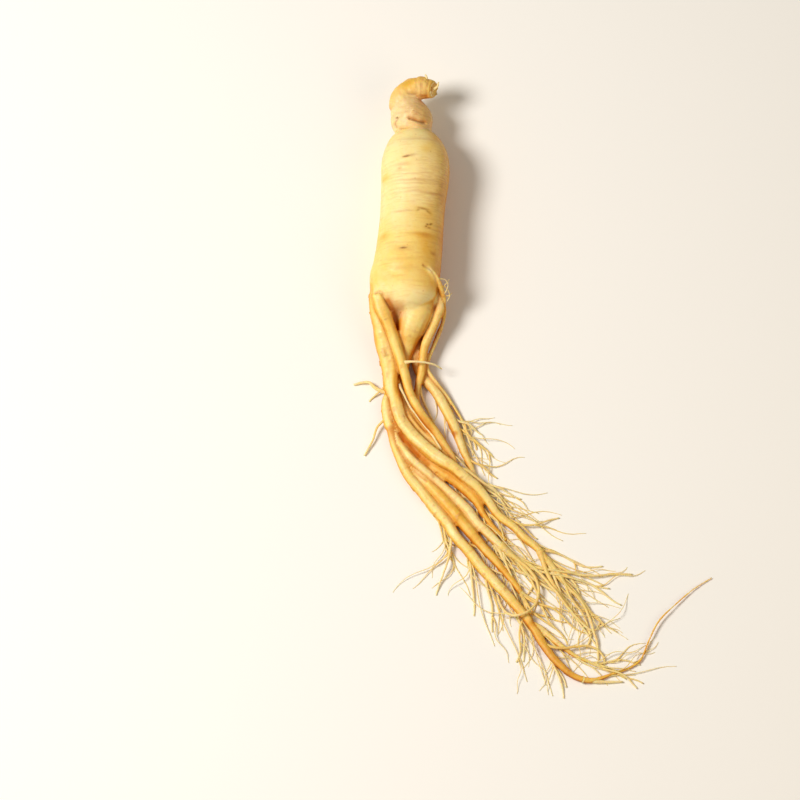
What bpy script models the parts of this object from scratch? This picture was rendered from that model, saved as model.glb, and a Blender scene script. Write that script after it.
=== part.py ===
"""A fresh ginseng root lying on its side, with its neck, its forked legs and its rootlets.

Run it with blender --background --python part.py, or from Blender's text editor.
The root grew as one piece, so it is one solid: every leg and rootlet is a tapering tube
whose base is sunk into what it grows from, and all of them are fused with the body.
Lengths are in millimetres until MM turns them into Blender's metres. X runs across the
root, Y along it towards the neck, and Z up from the surface that it lies on.
"""

import math
import random

import bmesh
import bpy
from mathutils import Matrix, Vector

MM = 0.001

# Driving dimensions
BODY_RADIUS = 14.2
BODY_LENGTH = 76.0
BODY_TOP_Y = 112.5
AXIS_HEIGHT = 12.9

# The body from its shoulder down: share of its length, share of its radius, sideways bend
BODY_SHAPE = (
    (0.00, 0.46, 0.3),
    (0.03, 0.67, 0.2),
    (0.08, 0.84, 0.1),
    (0.16, 0.97, 0.2),
    (0.25, 1.00, 0.2),
    (0.37, 0.96, -0.4),
    (0.49, 0.94, -1.0),
    (0.61, 0.96, -1.8),
    (0.71, 0.97, -2.5),
    (0.80, 0.99, -3.4),
    (0.86, 0.93, -3.9),
    (0.92, 0.78, -4.6),
    (0.97, 0.56, -5.0),
)

# Rounded swellings: centre, radii and turn about Z in degrees
SWELLINGS = {
    "middle_hip": ((-1.9, 48.6, 14.3), (12.4, 15.4, 11.9), 0),
    "left_hip": ((-12.6, 45.0, 13.4), (6.0, 12.5, 7.4), 6),
    "shoulder_bud": ((-7.6, 116.6, 16.6), (2.4, 2.6, 2.4), 0),
    "stem_scar": ((1.0, 118.2, 20.4), (4.2, 1.8, 2.6), 8),
    "crotch": ((-7.4, 34.0, 6.0), (4.6, 7.5, 5.4), 0),
}

# The neck from the collar to the cut end of the old stem: x, y, height of the axis, radius
NECK = {
    "neck": (
        (0.3, 107.0, 13.2, 8.0),
        (0.0, 111.6, 13.4, 7.0),
        (-0.7, 114.4, 13.7, 8.2),
        (-1.6, 118.2, 14.0, 8.5),
        (-3.1, 122.0, 14.4, 7.2),
        (-4.4, 125.6, 15.0, 5.5),
        (-5.2, 128.2, 15.6, 3.5),
        (-5.2, 129.6, 16.0, 1.8),
    ),
    "crown": (
        (-6.3, 121.0, 14.6, 3.4),
        (-6.4, 124.0, 15.2, 4.5),
        (-5.2, 126.6, 15.8, 4.8),
        (-2.8, 128.9, 16.5, 4.6),
        (-0.3, 130.0, 17.1, 4.6),
        (2.6, 130.2, 17.4, 4.7),
        (5.2, 129.9, 17.5, 4.2),
        (7.2, 129.5, 17.5, 3.7),
        (8.6, 129.2, 17.5, 2.9),
    ),
}

# Legs from the hip to the tip: x, y, height of the axis, radius
LEGS = {
    "long_leg": (
        (-12.8, 47.0, 13.2, 3.6),
        (-14.8, 40.0, 12.8, 4.3),
        (-15.0, 33.6, 11.0, 3.5),
        (-13.8, 28.1, 9.3, 3.5),
        (-12.2, 20.6, 7.4, 3.8),
        (-10.8, 15.4, 5.9, 3.8),
        (-9.6, 9.2, 4.7, 3.7),
        (-9.4, 2.9, 4.0, 3.4),
        (-8.0, -2.4, 3.6, 3.3),
        (-6.3, -9.0, 3.3, 3.1),
        (-3.3, -14.3, 3.5, 3.0),
        (0.4, -18.7, 4.0, 2.9),
        (6.6, -24.8, 5.1, 2.8),
        (11.5, -28.7, 6.0, 2.6),
        (15.8, -31.6, 6.2, 2.4),
        (21.1, -36.1, 5.2, 2.2),
        (25.8, -39.8, 4.2, 2.0),
        (29.9, -45.1, 3.2, 1.9),
        (34.0, -51.0, 2.5, 1.8),
        (40.4, -56.1, 2.2, 1.7),
        (45.1, -61.0, 2.0, 1.7),
        (49.8, -65.0, 1.9, 1.6),
        (53.0, -69.0, 1.8, 1.4),
        (56.3, -73.5, 1.6, 1.1),
    ),
    "outer_leg": (
        (-9.6, 2.0, 3.6, 2.4),
        (-11.4, -1.2, 3.0, 2.1),
        (-11.9, -4.6, 2.6, 2.0),
        (-11.0, -10.0, 2.4, 2.1),
        (-9.2, -15.6, 2.4, 2.4),
        (-6.9, -23.5, 2.4, 2.4),
        (-3.0, -33.0, 2.3, 2.3),
        (3.2, -41.6, 2.3, 2.3),
        (8.2, -48.3, 2.3, 2.3),
        (13.1, -54.3, 2.3, 2.3),
        (16.4, -59.9, 2.3, 2.3),
        (21.3, -65.8, 2.3, 2.3),
        (26.2, -72.5, 2.3, 2.3),
        (31.2, -78.4, 2.3, 2.3),
        (36.0, -84.0, 2.3, 2.2),
        (40.6, -89.4, 2.2, 2.1),
        (45.1, -95.0, 2.1, 2.0),
        (48.6, -100.2, 2.0, 1.9),
        (51.7, -105.8, 1.9, 1.8),
        (54.9, -110.9, 1.8, 1.7),
        (59.0, -115.7, 1.7, 1.6),
        (64.0, -120.0, 1.5, 1.4),
        (68.9, -122.1, 1.3, 1.3),
        (72.6, -122.3, 1.1, 1.1),
        (76.7, -121.1, 0.9, 0.8),
        (81.6, -119.1, 0.8, 0.65),
        (86.9, -117.1, 0.8, 0.6),
        (92.2, -113.3, 0.9, 0.55),
        (95.5, -105.6, 1.4, 0.5),
        (99.6, -97.0, 1.8, 0.5),
        (106.6, -89.5, 1.4, 0.45),
        (114.0, -82.7, 0.8, 0.4),
        (121.8, -77.4, 0.5, 0.35),
    ),
    "outer_fork": (
        (48.0, -98.4, 1.9, 1.5),
        (51.2, -100.0, 1.6, 1.45),
        (54.9, -103.4, 1.4, 1.35),
        (59.0, -106.9, 1.3, 1.2),
        (62.3, -109.4, 1.1, 1.0),
        (66.4, -112.2, 0.9, 0.8),
        (71.8, -114.5, 0.7, 0.6),
        (75.8, -115.8, 0.6, 0.5),
        (79.1, -116.2, 0.5, 0.4),
    ),
    "second_leg": (
        (-9.4, -14.2, 2.4, 2.1),
        (-6.6, -20.2, 2.8, 2.2),
        (-2.7, -26.0, 3.2, 2.5),
        (2.3, -31.0, 3.0, 2.6),
        (7.0, -35.5, 2.6, 2.4),
        (11.9, -39.6, 2.4, 2.3),
        (16.8, -44.0, 2.3, 2.3),
        (21.6, -49.0, 2.2, 2.2),
        (25.2, -54.2, 2.1, 2.1),
        (29.8, -58.8, 2.0, 2.0),
        (34.3, -63.6, 1.9, 1.8),
        (39.4, -68.0, 1.7, 1.4),
        (42.5, -71.0, 1.5, 1.0),
    ),
    "inner_leg": (
        (-3.2, -26.4, 2.8, 1.7),
        (0.6, -31.9, 2.4, 2.2),
        (4.9, -36.8, 2.4, 2.4),
        (9.3, -41.8, 2.5, 2.5),
        (13.8, -47.2, 2.5, 2.5),
        (18.2, -52.8, 2.5, 2.5),
        (22.7, -58.5, 2.4, 2.4),
        (27.3, -64.4, 2.1, 2.1),
        (32.1, -69.8, 1.9, 1.9),
        (36.1, -74.7, 1.6, 1.6),
        (40.2, -79.9, 1.5, 1.4),
        (43.9, -85.1, 1.4, 1.1),
    ),
    "cross_leg": (
        (-14.6, 43.6, 14.4, 3.0),
        (-14.4, 39.2, 16.2, 3.4),
        (-13.1, 33.9, 15.3, 3.0),
        (-11.1, 29.2, 13.2, 2.6),
        (-9.0, 23.8, 11.2, 2.5),
        (-7.2, 18.4, 9.7, 2.4),
        (-5.3, 12.6, 8.8, 2.2),
        (-3.9, 7.1, 8.3, 2.0),
        (-2.3, 1.0, 7.4, 1.9),
        (0.4, -4.5, 6.4, 1.9),
        (3.7, -9.7, 5.3, 1.9),
        (7.8, -14.8, 4.0, 1.9),
        (11.5, -19.9, 2.8, 1.8),
        (15.2, -25.6, 1.8, 1.5),
        (17.7, -31.0, 1.5, 1.3),
        (20.6, -37.6, 1.3, 1.1),
        (25.6, -45.4, 1.1, 0.9),
        (30.4, -51.6, 0.9, 0.6),
    ),
    "middle_leg": (
        (1.2, 40.4, 11.2, 6.0),
        (1.0, 35.4, 10.9, 6.4),
        (-0.8, 30.8, 9.8, 6.1),
        (-2.2, 26.6, 8.3, 5.3),
        (-3.1, 21.6, 6.2, 3.6),
        (-4.6, 15.4, 4.2, 2.7),
        (-4.9, 7.8, 2.6, 2.2),
        (-3.4, 0.1, 2.0, 1.8),
        (-0.8, -7.1, 1.7, 1.5),
        (2.8, -12.5, 1.6, 1.4),
        (7.0, -18.0, 1.5, 1.3),
        (10.4, -23.0, 1.3, 1.2),
        (13.0, -28.4, 1.1, 1.0),
        (14.6, -34.0, 0.9, 0.8),
        (17.6, -39.6, 0.8, 0.6),
    ),
    "right_leg": (
        (4.7, 42.4, 10.6, 4.7),
        (4.6, 33.4, 6.2, 3.4),
        (1.8, 27.0, 4.2, 2.9),
        (0.4, 20.6, 3.0, 2.6),
        (1.0, 14.6, 2.5, 2.4),
        (3.4, 9.0, 2.3, 2.3),
        (7.7, 4.0, 2.3, 2.3),
        (11.6, -3.0, 2.3, 2.2),
        (15.6, -11.2, 2.2, 2.1),
        (18.2, -18.1, 2.0, 1.9),
        (20.2, -23.8, 1.8, 1.6),
        (22.6, -29.0, 1.4, 1.3),
        (24.6, -33.6, 1.0, 1.0),
        (27.4, -38.4, 0.8, 0.7),
    ),
    "slim_leg": (
        (7.6, 43.6, 12.2, 3.1),
        (10.1, 37.4, 10.8, 2.2),
        (9.2, 32.9, 10.4, 1.9),
        (7.1, 28.0, 9.0, 1.9),
        (4.7, 22.8, 7.8, 1.9),
        (3.6, 18.8, 7.0, 1.8),
        (3.0, 13.6, 6.3, 1.8),
        (2.6, 9.4, 5.6, 1.7),
        (1.4, 5.2, 4.2, 1.5),
        (0.8, 0.6, 2.8, 1.2),
        (2.2, -4.8, 1.6, 0.9),
        (5.4, -10.2, 0.9, 0.6),
    ),
    "valley_leg": (
        (-7.0, -12.5, 2.4, 2.0),
        (-4.6, -18.0, 2.2, 1.8),
        (-0.6, -23.2, 2.2, 1.8),
        (4.8, -28.2, 2.2, 2.1),
        (9.9, -31.9, 2.3, 2.3),
        (15.1, -35.2, 2.3, 2.3),
        (20.2, -39.6, 2.3, 2.2),
        (25.0, -44.6, 2.1, 2.0),
        (28.4, -51.0, 1.6, 1.4),
        (32.8, -56.8, 1.4, 1.1),
        (37.6, -61.8, 1.2, 0.8),
    ),
    "low_leg": (
        (-6.6, 3.6, 2.8, 1.7),
        (-4.8, -3.6, 2.4, 1.7),
        (-1.8, -9.4, 2.3, 1.7),
        (2.4, -14.8, 2.3, 1.6),
        (7.4, -19.6, 2.3, 1.5),
        (12.0, -24.0, 2.0, 1.3),
        (16.4, -28.4, 1.6, 1.1),
        (20.4, -33.4, 1.2, 0.8),
    ),
    "side_rootlet": (
        (2.6, 48.9, 22.4, 1.2),
        (5.0, 48.6, 24.0, 1.1),
        (7.6, 47.4, 22.8, 1.05),
        (9.5, 45.0, 20.0, 1.1),
        (10.9, 42.4, 16.4, 1.15),
        (11.8, 39.8, 12.9, 1.15),
        (12.1, 35.8, 9.6, 1.1),
        (11.6, 31.8, 7.2, 1.0),
        (9.8, 27.2, 5.4, 1.0),
        (7.6, 21.6, 4.8, 0.95),
        (5.6, 16.2, 4.9, 0.9),
        (5.2, 11.6, 4.8, 0.85),
        (9.0, 5.8, 3.9, 0.8),
        (13.1, 0.9, 2.2, 0.75),
        (17.4, -6.0, 1.4, 0.7),
        (19.4, -9.8, 0.9, 0.6),
        (20.6, -15.0, 0.5, 0.45),
    ),
}

# Loose rootlets that stand out on their own: x, y, height of the axis, radius
ROOTLETS = {
    "end_loop": (
        (51.7, -106.1, 1.6, 0.8),
        (55.3, -108.1, 2.4, 0.65),
        (60.3, -108.9, 2.6, 0.6),
        (66.0, -108.1, 2.2, 0.55),
        (70.9, -107.6, 1.6, 0.55),
        (75.0, -109.4, 1.1, 0.5),
        (77.1, -112.3, 0.8, 0.45),
        (77.5, -115.3, 0.5, 0.35),
    ),
    "end_whisker": (
        (68.4, -122.0, 1.2, 0.9),
        (75.0, -122.9, 0.9, 0.75),
        (79.9, -122.9, 0.7, 0.6),
        (84.9, -122.7, 0.5, 0.4),
    ),
    "fray_loop": (
        (37.6, -66.6, 1.8, 0.9),
        (44.3, -72.4, 2.4, 0.75),
        (47.6, -76.0, 2.8, 0.7),
        (50.0, -80.4, 2.8, 0.65),
        (50.6, -84.7, 2.6, 0.6),
        (49.2, -90.2, 3.6, 0.6),
        (45.5, -94.3, 5.3, 0.55),
        (41.0, -95.8, 5.4, 0.55),
        (37.3, -93.7, 3.6, 0.5),
        (34.9, -89.5, 1.6, 0.5),
        (33.6, -84.9, 0.8, 0.4),
    ),
    "fray_long": (
        (51.2, -66.4, 1.8, 1.1),
        (54.1, -76.3, 2.2, 0.9),
        (58.2, -83.5, 1.8, 0.8),
        (61.9, -89.0, 1.4, 0.7),
        (66.0, -94.1, 1.0, 0.65),
        (70.1, -98.8, 0.8, 0.6),
        (71.8, -102.3, 0.7, 0.55),
        (71.3, -105.3, 0.6, 0.45),
        (70.1, -108.3, 0.5, 0.35),
    ),
    "fray_outer": (
        (54.3, -70.6, 1.8, 1.0),
        (58.6, -76.2, 2.0, 0.85),
        (62.3, -81.9, 2.2, 0.75),
        (66.8, -86.6, 2.0, 0.7),
        (69.7, -91.3, 1.6, 0.65),
        (71.8, -96.6, 1.8, 0.6),
        (73.4, -102.5, 1.4, 0.55),
        (74.6, -107.1, 0.9, 0.5),
        (75.0, -113.5, 0.5, 0.35),
    ),
    "fray_middle": (
        (34.9, -64.0, 1.9, 1.1),
        (41.4, -69.5, 1.8, 0.9),
        (47.6, -73.0, 1.8, 0.8),
        (52.1, -77.5, 2.2, 0.7),
        (57.8, -84.7, 2.8, 0.65),
        (62.3, -90.7, 2.4, 0.6),
        (67.2, -96.6, 1.8, 0.55),
        (71.8, -100.6, 1.4, 0.5),
        (74.6, -99.7, 0.8, 0.4),
        (75.8, -96.1, 0.5, 0.35),
    ),
    "fray_short": (
        (33.2, -63.0, 1.9, 0.9),
        (36.9, -71.1, 1.4, 0.75),
        (41.4, -74.6, 1.0, 0.65),
        (46.7, -76.9, 0.8, 0.6),
        (48.4, -80.6, 0.7, 0.5),
        (45.9, -85.0, 0.5, 0.35),
    ),
    "bridge_whisker": (
        (-4.6, 12.8, 9.6, 0.7),
        (-0.6, 12.9, 10.8, 0.5),
        (5.2, 12.4, 10.4, 0.45),
        (8.6, 11.9, 8.8, 0.4),
        (11.0, 11.0, 6.8, 0.35),
    ),
    "valley_whisker": (
        (-7.0, 5.8, 4.8, 0.7),
        (-4.6, 0.8, 5.2, 0.5),
        (-2.0, -4.6, 4.8, 0.45),
        (2.4, -10.7, 4.4, 0.45),
        (7.2, -17.2, 4.2, 0.45),
        (10.8, -22.9, 3.4, 0.4),
    ),
    "amber_whisker": (
        (1.4, 5.0, 3.6, 0.9),
        (2.6, 1.5, 2.2, 0.6),
        (3.9, -2.0, 1.0, 0.5),
        (8.0, -10.7, 0.6, 0.35),
    ),
    "ridge_whisker": (
        (17.4, -32.6, 5.8, 0.9),
        (21.2, -32.8, 6.0, 0.8),
        (24.0, -34.6, 5.0, 0.7),
        (28.3, -37.4, 3.4, 0.6),
        (32.8, -39.9, 1.9, 0.55),
        (36.1, -44.0, 1.1, 0.5),
        (39.8, -47.7, 0.6, 0.4),
    ),
    "left_hook": (
        (-10.0, 1.6, 3.0, 0.9),
        (-15.4, 3.6, 2.8, 0.75),
        (-18.6, 6.8, 2.0, 0.65),
        (-21.4, 7.2, 1.2, 0.55),
        (-25.2, 6.4, 0.7, 0.4),
    ),
    "left_whisker": (
        (-11.0, -8.4, 2.4, 0.7),
        (-15.2, -12.4, 2.6, 0.5),
        (-17.4, -18.2, 1.6, 0.45),
        (-20.8, -24.6, 0.6, 0.35),
    ),
    "crown_whisker": (
        (4.8, 131.6, 19.8, 0.6),
        (4.9, 133.3, 20.4, 0.5),
        (4.2, 134.9, 20.9, 0.35),
    ),
    "crown_husk": (
        (7.0, 129.2, 18.2, 0.8),
        (8.4, 129.7, 18.8, 0.55),
        (9.4, 130.5, 19.6, 0.45),
        (9.7, 131.8, 20.0, 0.35),
    ),
}

# Frayed ends: the leg, share along it, rootlets, spread in degrees, length, radius
SPRAYS = (
    ("long_leg", 1.00, 6, 44, 40, 0.75),
    ("second_leg", 1.00, 5, 44, 38, 0.70),
    ("inner_leg", 1.00, 4, 44, 32, 0.65),
    ("outer_leg", 0.60, 2, 50, 24, 0.65),
    ("outer_fork", 0.85, 3, 60, 20, 0.50),
    ("cross_leg", 0.96, 2, 40, 24, 0.50),
    ("middle_leg", 0.97, 2, 50, 22, 0.50),
    ("right_leg", 0.97, 3, 60, 28, 0.60),
    ("slim_leg", 0.95, 2, 60, 18, 0.45),
    ("side_rootlet", 0.95, 2, 60, 18, 0.45),
)

# Rootlets along a leg: the leg, shares from and to, number, side (1 left, -1 right), length
FRINGES = (
    ("outer_leg", 0.20, 0.54, 6, -1, 30),
    ("outer_leg", 0.30, 0.56, 3, 1, 22),
    ("long_leg", 0.62, 0.95, 4, 1, 28),
    ("second_leg", 0.60, 0.92, 3, -1, 24),
    ("right_leg", 0.55, 0.90, 3, 1, 24),
    ("long_leg", 0.20, 0.34, 1, -1, 20),
)

# How the rootlets grow: ranges that each one draws from, with angles in degrees
SPRAY_DEPTH = 0.013
SPRAY_REACH = (0.7, 1.1)
FRINGE_RADIUS = 0.6
FRINGE_ANGLE = 38.0
FRINGE_SPREAD = (0.6, 1.2)
FRINGE_REACH = (0.6, 1.1)
FRINGE_PLACE = (0.2, 0.8)
TIP_RADIUS = 0.3
WAVES = (0.7, 1.7)
SWAY = (5.0, 18.0)
BEND = (-26.0, 30.0)
LIFT = (0.0, 2.2)
SINK_RATE = 2.5
FINE_STEPS = 24

# Facets: points this far apart along a route, and sides round it
NECK_STEP = 3.0
LEG_STEP = 5.0
ROOTLET_STEP = 5.5
LEG_SIDES = 8
SLIM_SIDES = 6
ROOTLET_SIDES = 4
BODY_SIDES = 24
NECK_SIDES = 14
SWELLING_SIDES = 16
WELD = 1e-7


def clear_scene():
    for obj in list(bpy.data.objects):
        bpy.data.objects.remove(obj, do_unlink=True)


def skin_material():
    material = bpy.data.materials.new("ginseng_skin")
    material.use_nodes = True
    shader = material.node_tree.nodes["Principled BSDF"]
    shader.inputs["Base Color"].default_value = (0.86, 0.63, 0.27, 1.0)
    shader.inputs["Roughness"].default_value = 0.55
    shader.inputs["Metallic"].default_value = 0.0
    return material


def catmull_rom(a, b, c, d, t):
    """The point at t between b and c on the smooth curve through a, b, c and d."""
    return 0.5 * (2 * b + (c - a) * t + (2 * a - 5 * b + 4 * c - d) * t * t + (3 * b - a - 3 * c + d) * t**3)


def smooth_route(points, step):
    """The route resampled about every step along a smooth curve, held above the surface."""
    knots = [Vector(p) for p in points]
    knots = [2 * knots[0] - knots[1], *knots, 2 * knots[-1] - knots[-2]]
    route = []
    for i in range(1, len(knots) - 2):
        pieces = max(1, round((knots[i + 1] - knots[i]).length / step))
        for k in range(pieces):
            route.append(catmull_rom(*knots[i - 1 : i + 3], k / pieces))
    route.append(knots[-2])
    for point in route:
        point.z = max(point.z, point.w)
    return route


def mesh_object(name, mesh, collection):
    obj = bpy.data.objects.new(name, mesh)
    collection.objects.link(obj)
    return obj


def tube(name, route, sides, collection):
    """A closed tapering tube along route, whose points hold x, y, z and radius in millimetres."""
    data = bpy.data.curves.new(name, "CURVE")
    data.dimensions = "3D"
    data.bevel_depth = MM
    data.bevel_resolution = (sides - 4) // 2
    data.use_fill_caps = True
    spline = data.splines.new("POLY")
    spline.points.add(len(route) - 1)
    for point, (x, y, z, radius) in zip(spline.points, route):
        point.co = (x * MM, y * MM, z * MM, 1.0)
        point.radius = radius
    curve = mesh_object(name + "_line", data, collection)
    graph = bpy.context.evaluated_depsgraph_get()
    mesh = bpy.data.meshes.new_from_object(curve.evaluated_get(graph))
    bpy.data.objects.remove(curve)
    weld(mesh)
    return mesh_object(name, mesh, collection)


def weld(mesh):
    """Joins a tube's caps to its sides."""
    cage = bmesh.new()
    cage.from_mesh(mesh)
    bmesh.ops.remove_doubles(cage, verts=cage.verts, dist=WELD)
    bmesh.ops.recalc_face_normals(cage, faces=cage.faces)
    cage.to_mesh(mesh)
    cage.free()


def swelling(name, centre, radii, turn, sides, collection):
    """A ball stretched to three radii and turned about Z."""
    bpy.ops.mesh.primitive_uv_sphere_add(segments=sides, ring_count=sides // 2, radius=MM)
    obj = bpy.context.active_object
    obj.name = name
    place = Matrix.Translation(Vector(centre) * MM)
    obj.data.transform(place @ Matrix.Rotation(math.radians(turn), 4, "Z") @ Matrix.Diagonal((*radii, 1)))
    for old in list(obj.users_collection):
        old.objects.unlink(obj)
    collection.objects.link(obj)
    return obj


def body(collection):
    """The barrel of the root, pressed flat where it rests."""
    route = [
        Vector((bend, BODY_TOP_Y - share * BODY_LENGTH, AXIS_HEIGHT, width * BODY_RADIUS))
        for share, width, bend in BODY_SHAPE
    ]
    obj = tube("ginseng_root", route, BODY_SIDES, collection)
    for vertex in obj.data.vertices:
        vertex.co.z = max(vertex.co.z, 0.0)
    return obj


def along(route, share):
    """The point of a route at a share of its points, and its heading in the plan, in degrees."""
    place = min(max(share, 0.0), 1.0) * (len(route) - 1)
    index = min(int(place), len(route) - 2)
    ahead = route[index + 1] - route[index]
    return route[index] + ahead * (place - index), math.degrees(math.atan2(ahead.y, ahead.x))


def grow_rootlet(draw, start, heading, length, radius):
    """A rootlet that winds away from start in the plan heading and sinks to the surface."""
    waves = draw.uniform(*WAVES)
    phase = draw.uniform(0, math.tau)
    sway = draw.uniform(*SWAY)
    bend = draw.uniform(*BEND)
    lift = draw.uniform(*LIFT)
    x, y, z = start.x, start.y, start.z
    route = []
    for i in range(FINE_STEPS + 1):
        share = i / FINE_STEPS
        thick = radius + (TIP_RADIUS - radius) * share
        sunk = z + (thick - z) * min(1.0, SINK_RATE * share)
        height = sunk + lift * math.sin(math.pi * share) ** 2
        route.append(Vector((x, y, max(height, thick), thick)))
        swing = math.sin(waves * math.tau * share + phase) - math.sin(phase)
        angle = math.radians(heading + bend * share + sway * swing)
        x += math.cos(angle) * length / FINE_STEPS
        y += math.sin(angle) * length / FINE_STEPS
    return route


def thinned(route):
    """The route with its points about ROOTLET_STEP apart."""
    length = sum((b.xyz - a.xyz).length for a, b in zip(route, route[1:]))
    pieces = max(3, round(length / ROOTLET_STEP))
    return [route[round(i * FINE_STEPS / pieces)] for i in range(pieces + 1)]


def sprays(legs):
    """The rootlets of each frayed end, spread evenly about the leg's own heading."""
    found = {}
    for leg, share, count, spread, length, radius in SPRAYS:
        draw = random.Random(f"spray {leg} {share}")
        for i in range(count):
            start, heading = along(legs[leg], share - SPRAY_DEPTH * (i % 3 + 1))
            aside = spread * ((i + 0.5) / count - 0.5)
            reach = length * draw.uniform(*SPRAY_REACH)
            found[f"spray_{leg}_{share}_{i}"] = grow_rootlet(draw, start, heading + aside, reach, radius)
    return found


def fringes(legs):
    """The rootlets that leave a leg on one side."""
    found = {}
    for leg, low, high, count, side, length in FRINGES:
        draw = random.Random(f"fringe {leg} {side} {low}")
        for i in range(count):
            share = low + (high - low) * (i + draw.uniform(*FRINGE_PLACE)) / count
            start, heading = along(legs[leg], share)
            angle = heading + side * FRINGE_ANGLE * draw.uniform(*FRINGE_SPREAD)
            reach = length * draw.uniform(*FRINGE_REACH)
            found[f"fringe_{leg}_{side}_{low}_{i}"] = grow_rootlet(draw, start, angle, reach, FRINGE_RADIUS)
    return found


def growths(collection):
    """Everything that grows from the body, as separate closed pieces that sink into it."""
    for name, (centre, radii, turn) in SWELLINGS.items():
        swelling(name, centre, radii, turn, SWELLING_SIDES, collection)
    for name, points in NECK.items():
        tube(name, smooth_route(points, NECK_STEP), NECK_SIDES, collection)
    legs = {name: smooth_route(points, LEG_STEP) for name, points in LEGS.items()}
    for name, route in legs.items():
        tube(name, route, SLIM_SIDES if name == "side_rootlet" else LEG_SIDES, collection)
    for name, points in ROOTLETS.items():
        tube(name, smooth_route(points, ROOTLET_STEP), ROOTLET_SIDES, collection)
    for name, route in {**sprays(legs), **fringes(legs)}.items():
        tube(name, thinned(route), ROOTLET_SIDES, collection)


def fuse(obj, collection):
    """Joins the collection's pieces into obj and removes them."""
    union = obj.modifiers.new("fuse", "BOOLEAN")
    union.operation = "UNION"
    union.operand_type = "COLLECTION"
    union.collection = collection
    union.solver = "EXACT"
    graph = bpy.context.evaluated_depsgraph_get()
    fused = bpy.data.meshes.new_from_object(obj.evaluated_get(graph))
    obj.modifiers.clear()
    obj.data = fused
    for piece in list(collection.objects):
        bpy.data.objects.remove(piece, do_unlink=True)
    bpy.data.collections.remove(collection)


def stand_on_origin(obj):
    """Puts the origin at the middle of the root's length and width, on the surface."""
    corners = [vertex.co for vertex in obj.data.vertices]
    low = Vector(map(min, zip(*corners)))
    high = Vector(map(max, zip(*corners)))
    obj.data.transform(Matrix.Translation((-(low.x + high.x) / 2, -(low.y + high.y) / 2, -low.z)))


def build():
    clear_scene()
    part = bpy.data.collections.new("ginseng_root")
    pieces = bpy.data.collections.new("growths")
    bpy.context.scene.collection.children.link(part)
    bpy.context.scene.collection.children.link(pieces)
    root = body(part)
    growths(pieces)
    fuse(root, pieces)
    stand_on_origin(root)
    root.data.materials.clear()
    root.data.materials.append(skin_material())
    root.data.shade_smooth()


build()
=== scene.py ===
"""A fresh ginseng root lying on a pale surface: its skin, wrinkles, scars, rootlets and hairs.

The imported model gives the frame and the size. The root is modelled again here from the same
measured routes, as one finely meshed skin for the body and legs, one for the neck, and
separate pieces for the rootlets, the hairs and the torn fibres of the old stem.
"""

import math
import random

import bpy
import numpy as np
from mathutils import Matrix, Vector, bvhtree, noise

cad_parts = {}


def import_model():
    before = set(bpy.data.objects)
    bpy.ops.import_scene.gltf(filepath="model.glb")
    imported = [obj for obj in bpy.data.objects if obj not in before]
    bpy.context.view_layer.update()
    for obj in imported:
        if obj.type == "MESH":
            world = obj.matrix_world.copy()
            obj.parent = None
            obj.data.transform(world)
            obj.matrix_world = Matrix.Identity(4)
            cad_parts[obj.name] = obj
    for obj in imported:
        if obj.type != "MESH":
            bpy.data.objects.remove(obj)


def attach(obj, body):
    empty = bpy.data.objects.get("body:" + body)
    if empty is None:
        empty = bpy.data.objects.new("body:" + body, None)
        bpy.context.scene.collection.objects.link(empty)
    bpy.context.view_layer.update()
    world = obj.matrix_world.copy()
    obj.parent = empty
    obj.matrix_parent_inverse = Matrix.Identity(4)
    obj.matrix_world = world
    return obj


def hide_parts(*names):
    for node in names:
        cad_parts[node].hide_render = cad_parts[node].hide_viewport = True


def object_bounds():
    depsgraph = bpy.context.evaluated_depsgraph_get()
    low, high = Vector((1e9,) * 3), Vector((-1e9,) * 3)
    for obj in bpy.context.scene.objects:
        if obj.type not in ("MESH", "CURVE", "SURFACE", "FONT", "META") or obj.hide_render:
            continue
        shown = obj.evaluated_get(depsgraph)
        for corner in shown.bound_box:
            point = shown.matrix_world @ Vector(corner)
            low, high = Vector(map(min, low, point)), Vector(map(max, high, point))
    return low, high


MM = 0.001

# Driving dimensions
BODY_RADIUS = 14.2
BODY_LENGTH = 76.0
BODY_TOP_Y = 112.5
AXIS_HEIGHT = 12.9

# The body from its shoulder down: share of its length, share of its radius, sideways bend
BODY_SHAPE = (
    (0.00, 0.46, 0.3),
    (0.03, 0.67, 0.2),
    (0.08, 0.84, 0.1),
    (0.16, 0.97, 0.2),
    (0.25, 1.00, 0.2),
    (0.37, 0.96, -0.4),
    (0.49, 0.94, -1.0),
    (0.61, 0.96, -1.8),
    (0.71, 0.97, -2.5),
    (0.80, 0.99, -3.4),
    (0.86, 0.93, -3.9),
    (0.92, 0.78, -4.6),
    (0.97, 0.56, -5.0),
)

# Rounded swellings: centre, radii and turn about Z in degrees
SWELLINGS = {
    "middle_hip": ((-1.9, 48.6, 14.3), (12.4, 15.4, 11.9), 0),
    "left_hip": ((-12.6, 45.0, 13.4), (6.0, 12.5, 7.4), 6),
    "shoulder_bud": ((-7.6, 116.6, 16.6), (2.4, 2.6, 2.4), 0),
    "stem_scar": ((1.0, 118.2, 20.4), (4.2, 1.8, 2.6), 8),
    "crotch": ((-7.4, 34.0, 6.0), (4.6, 7.5, 5.4), 0),
}

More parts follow.
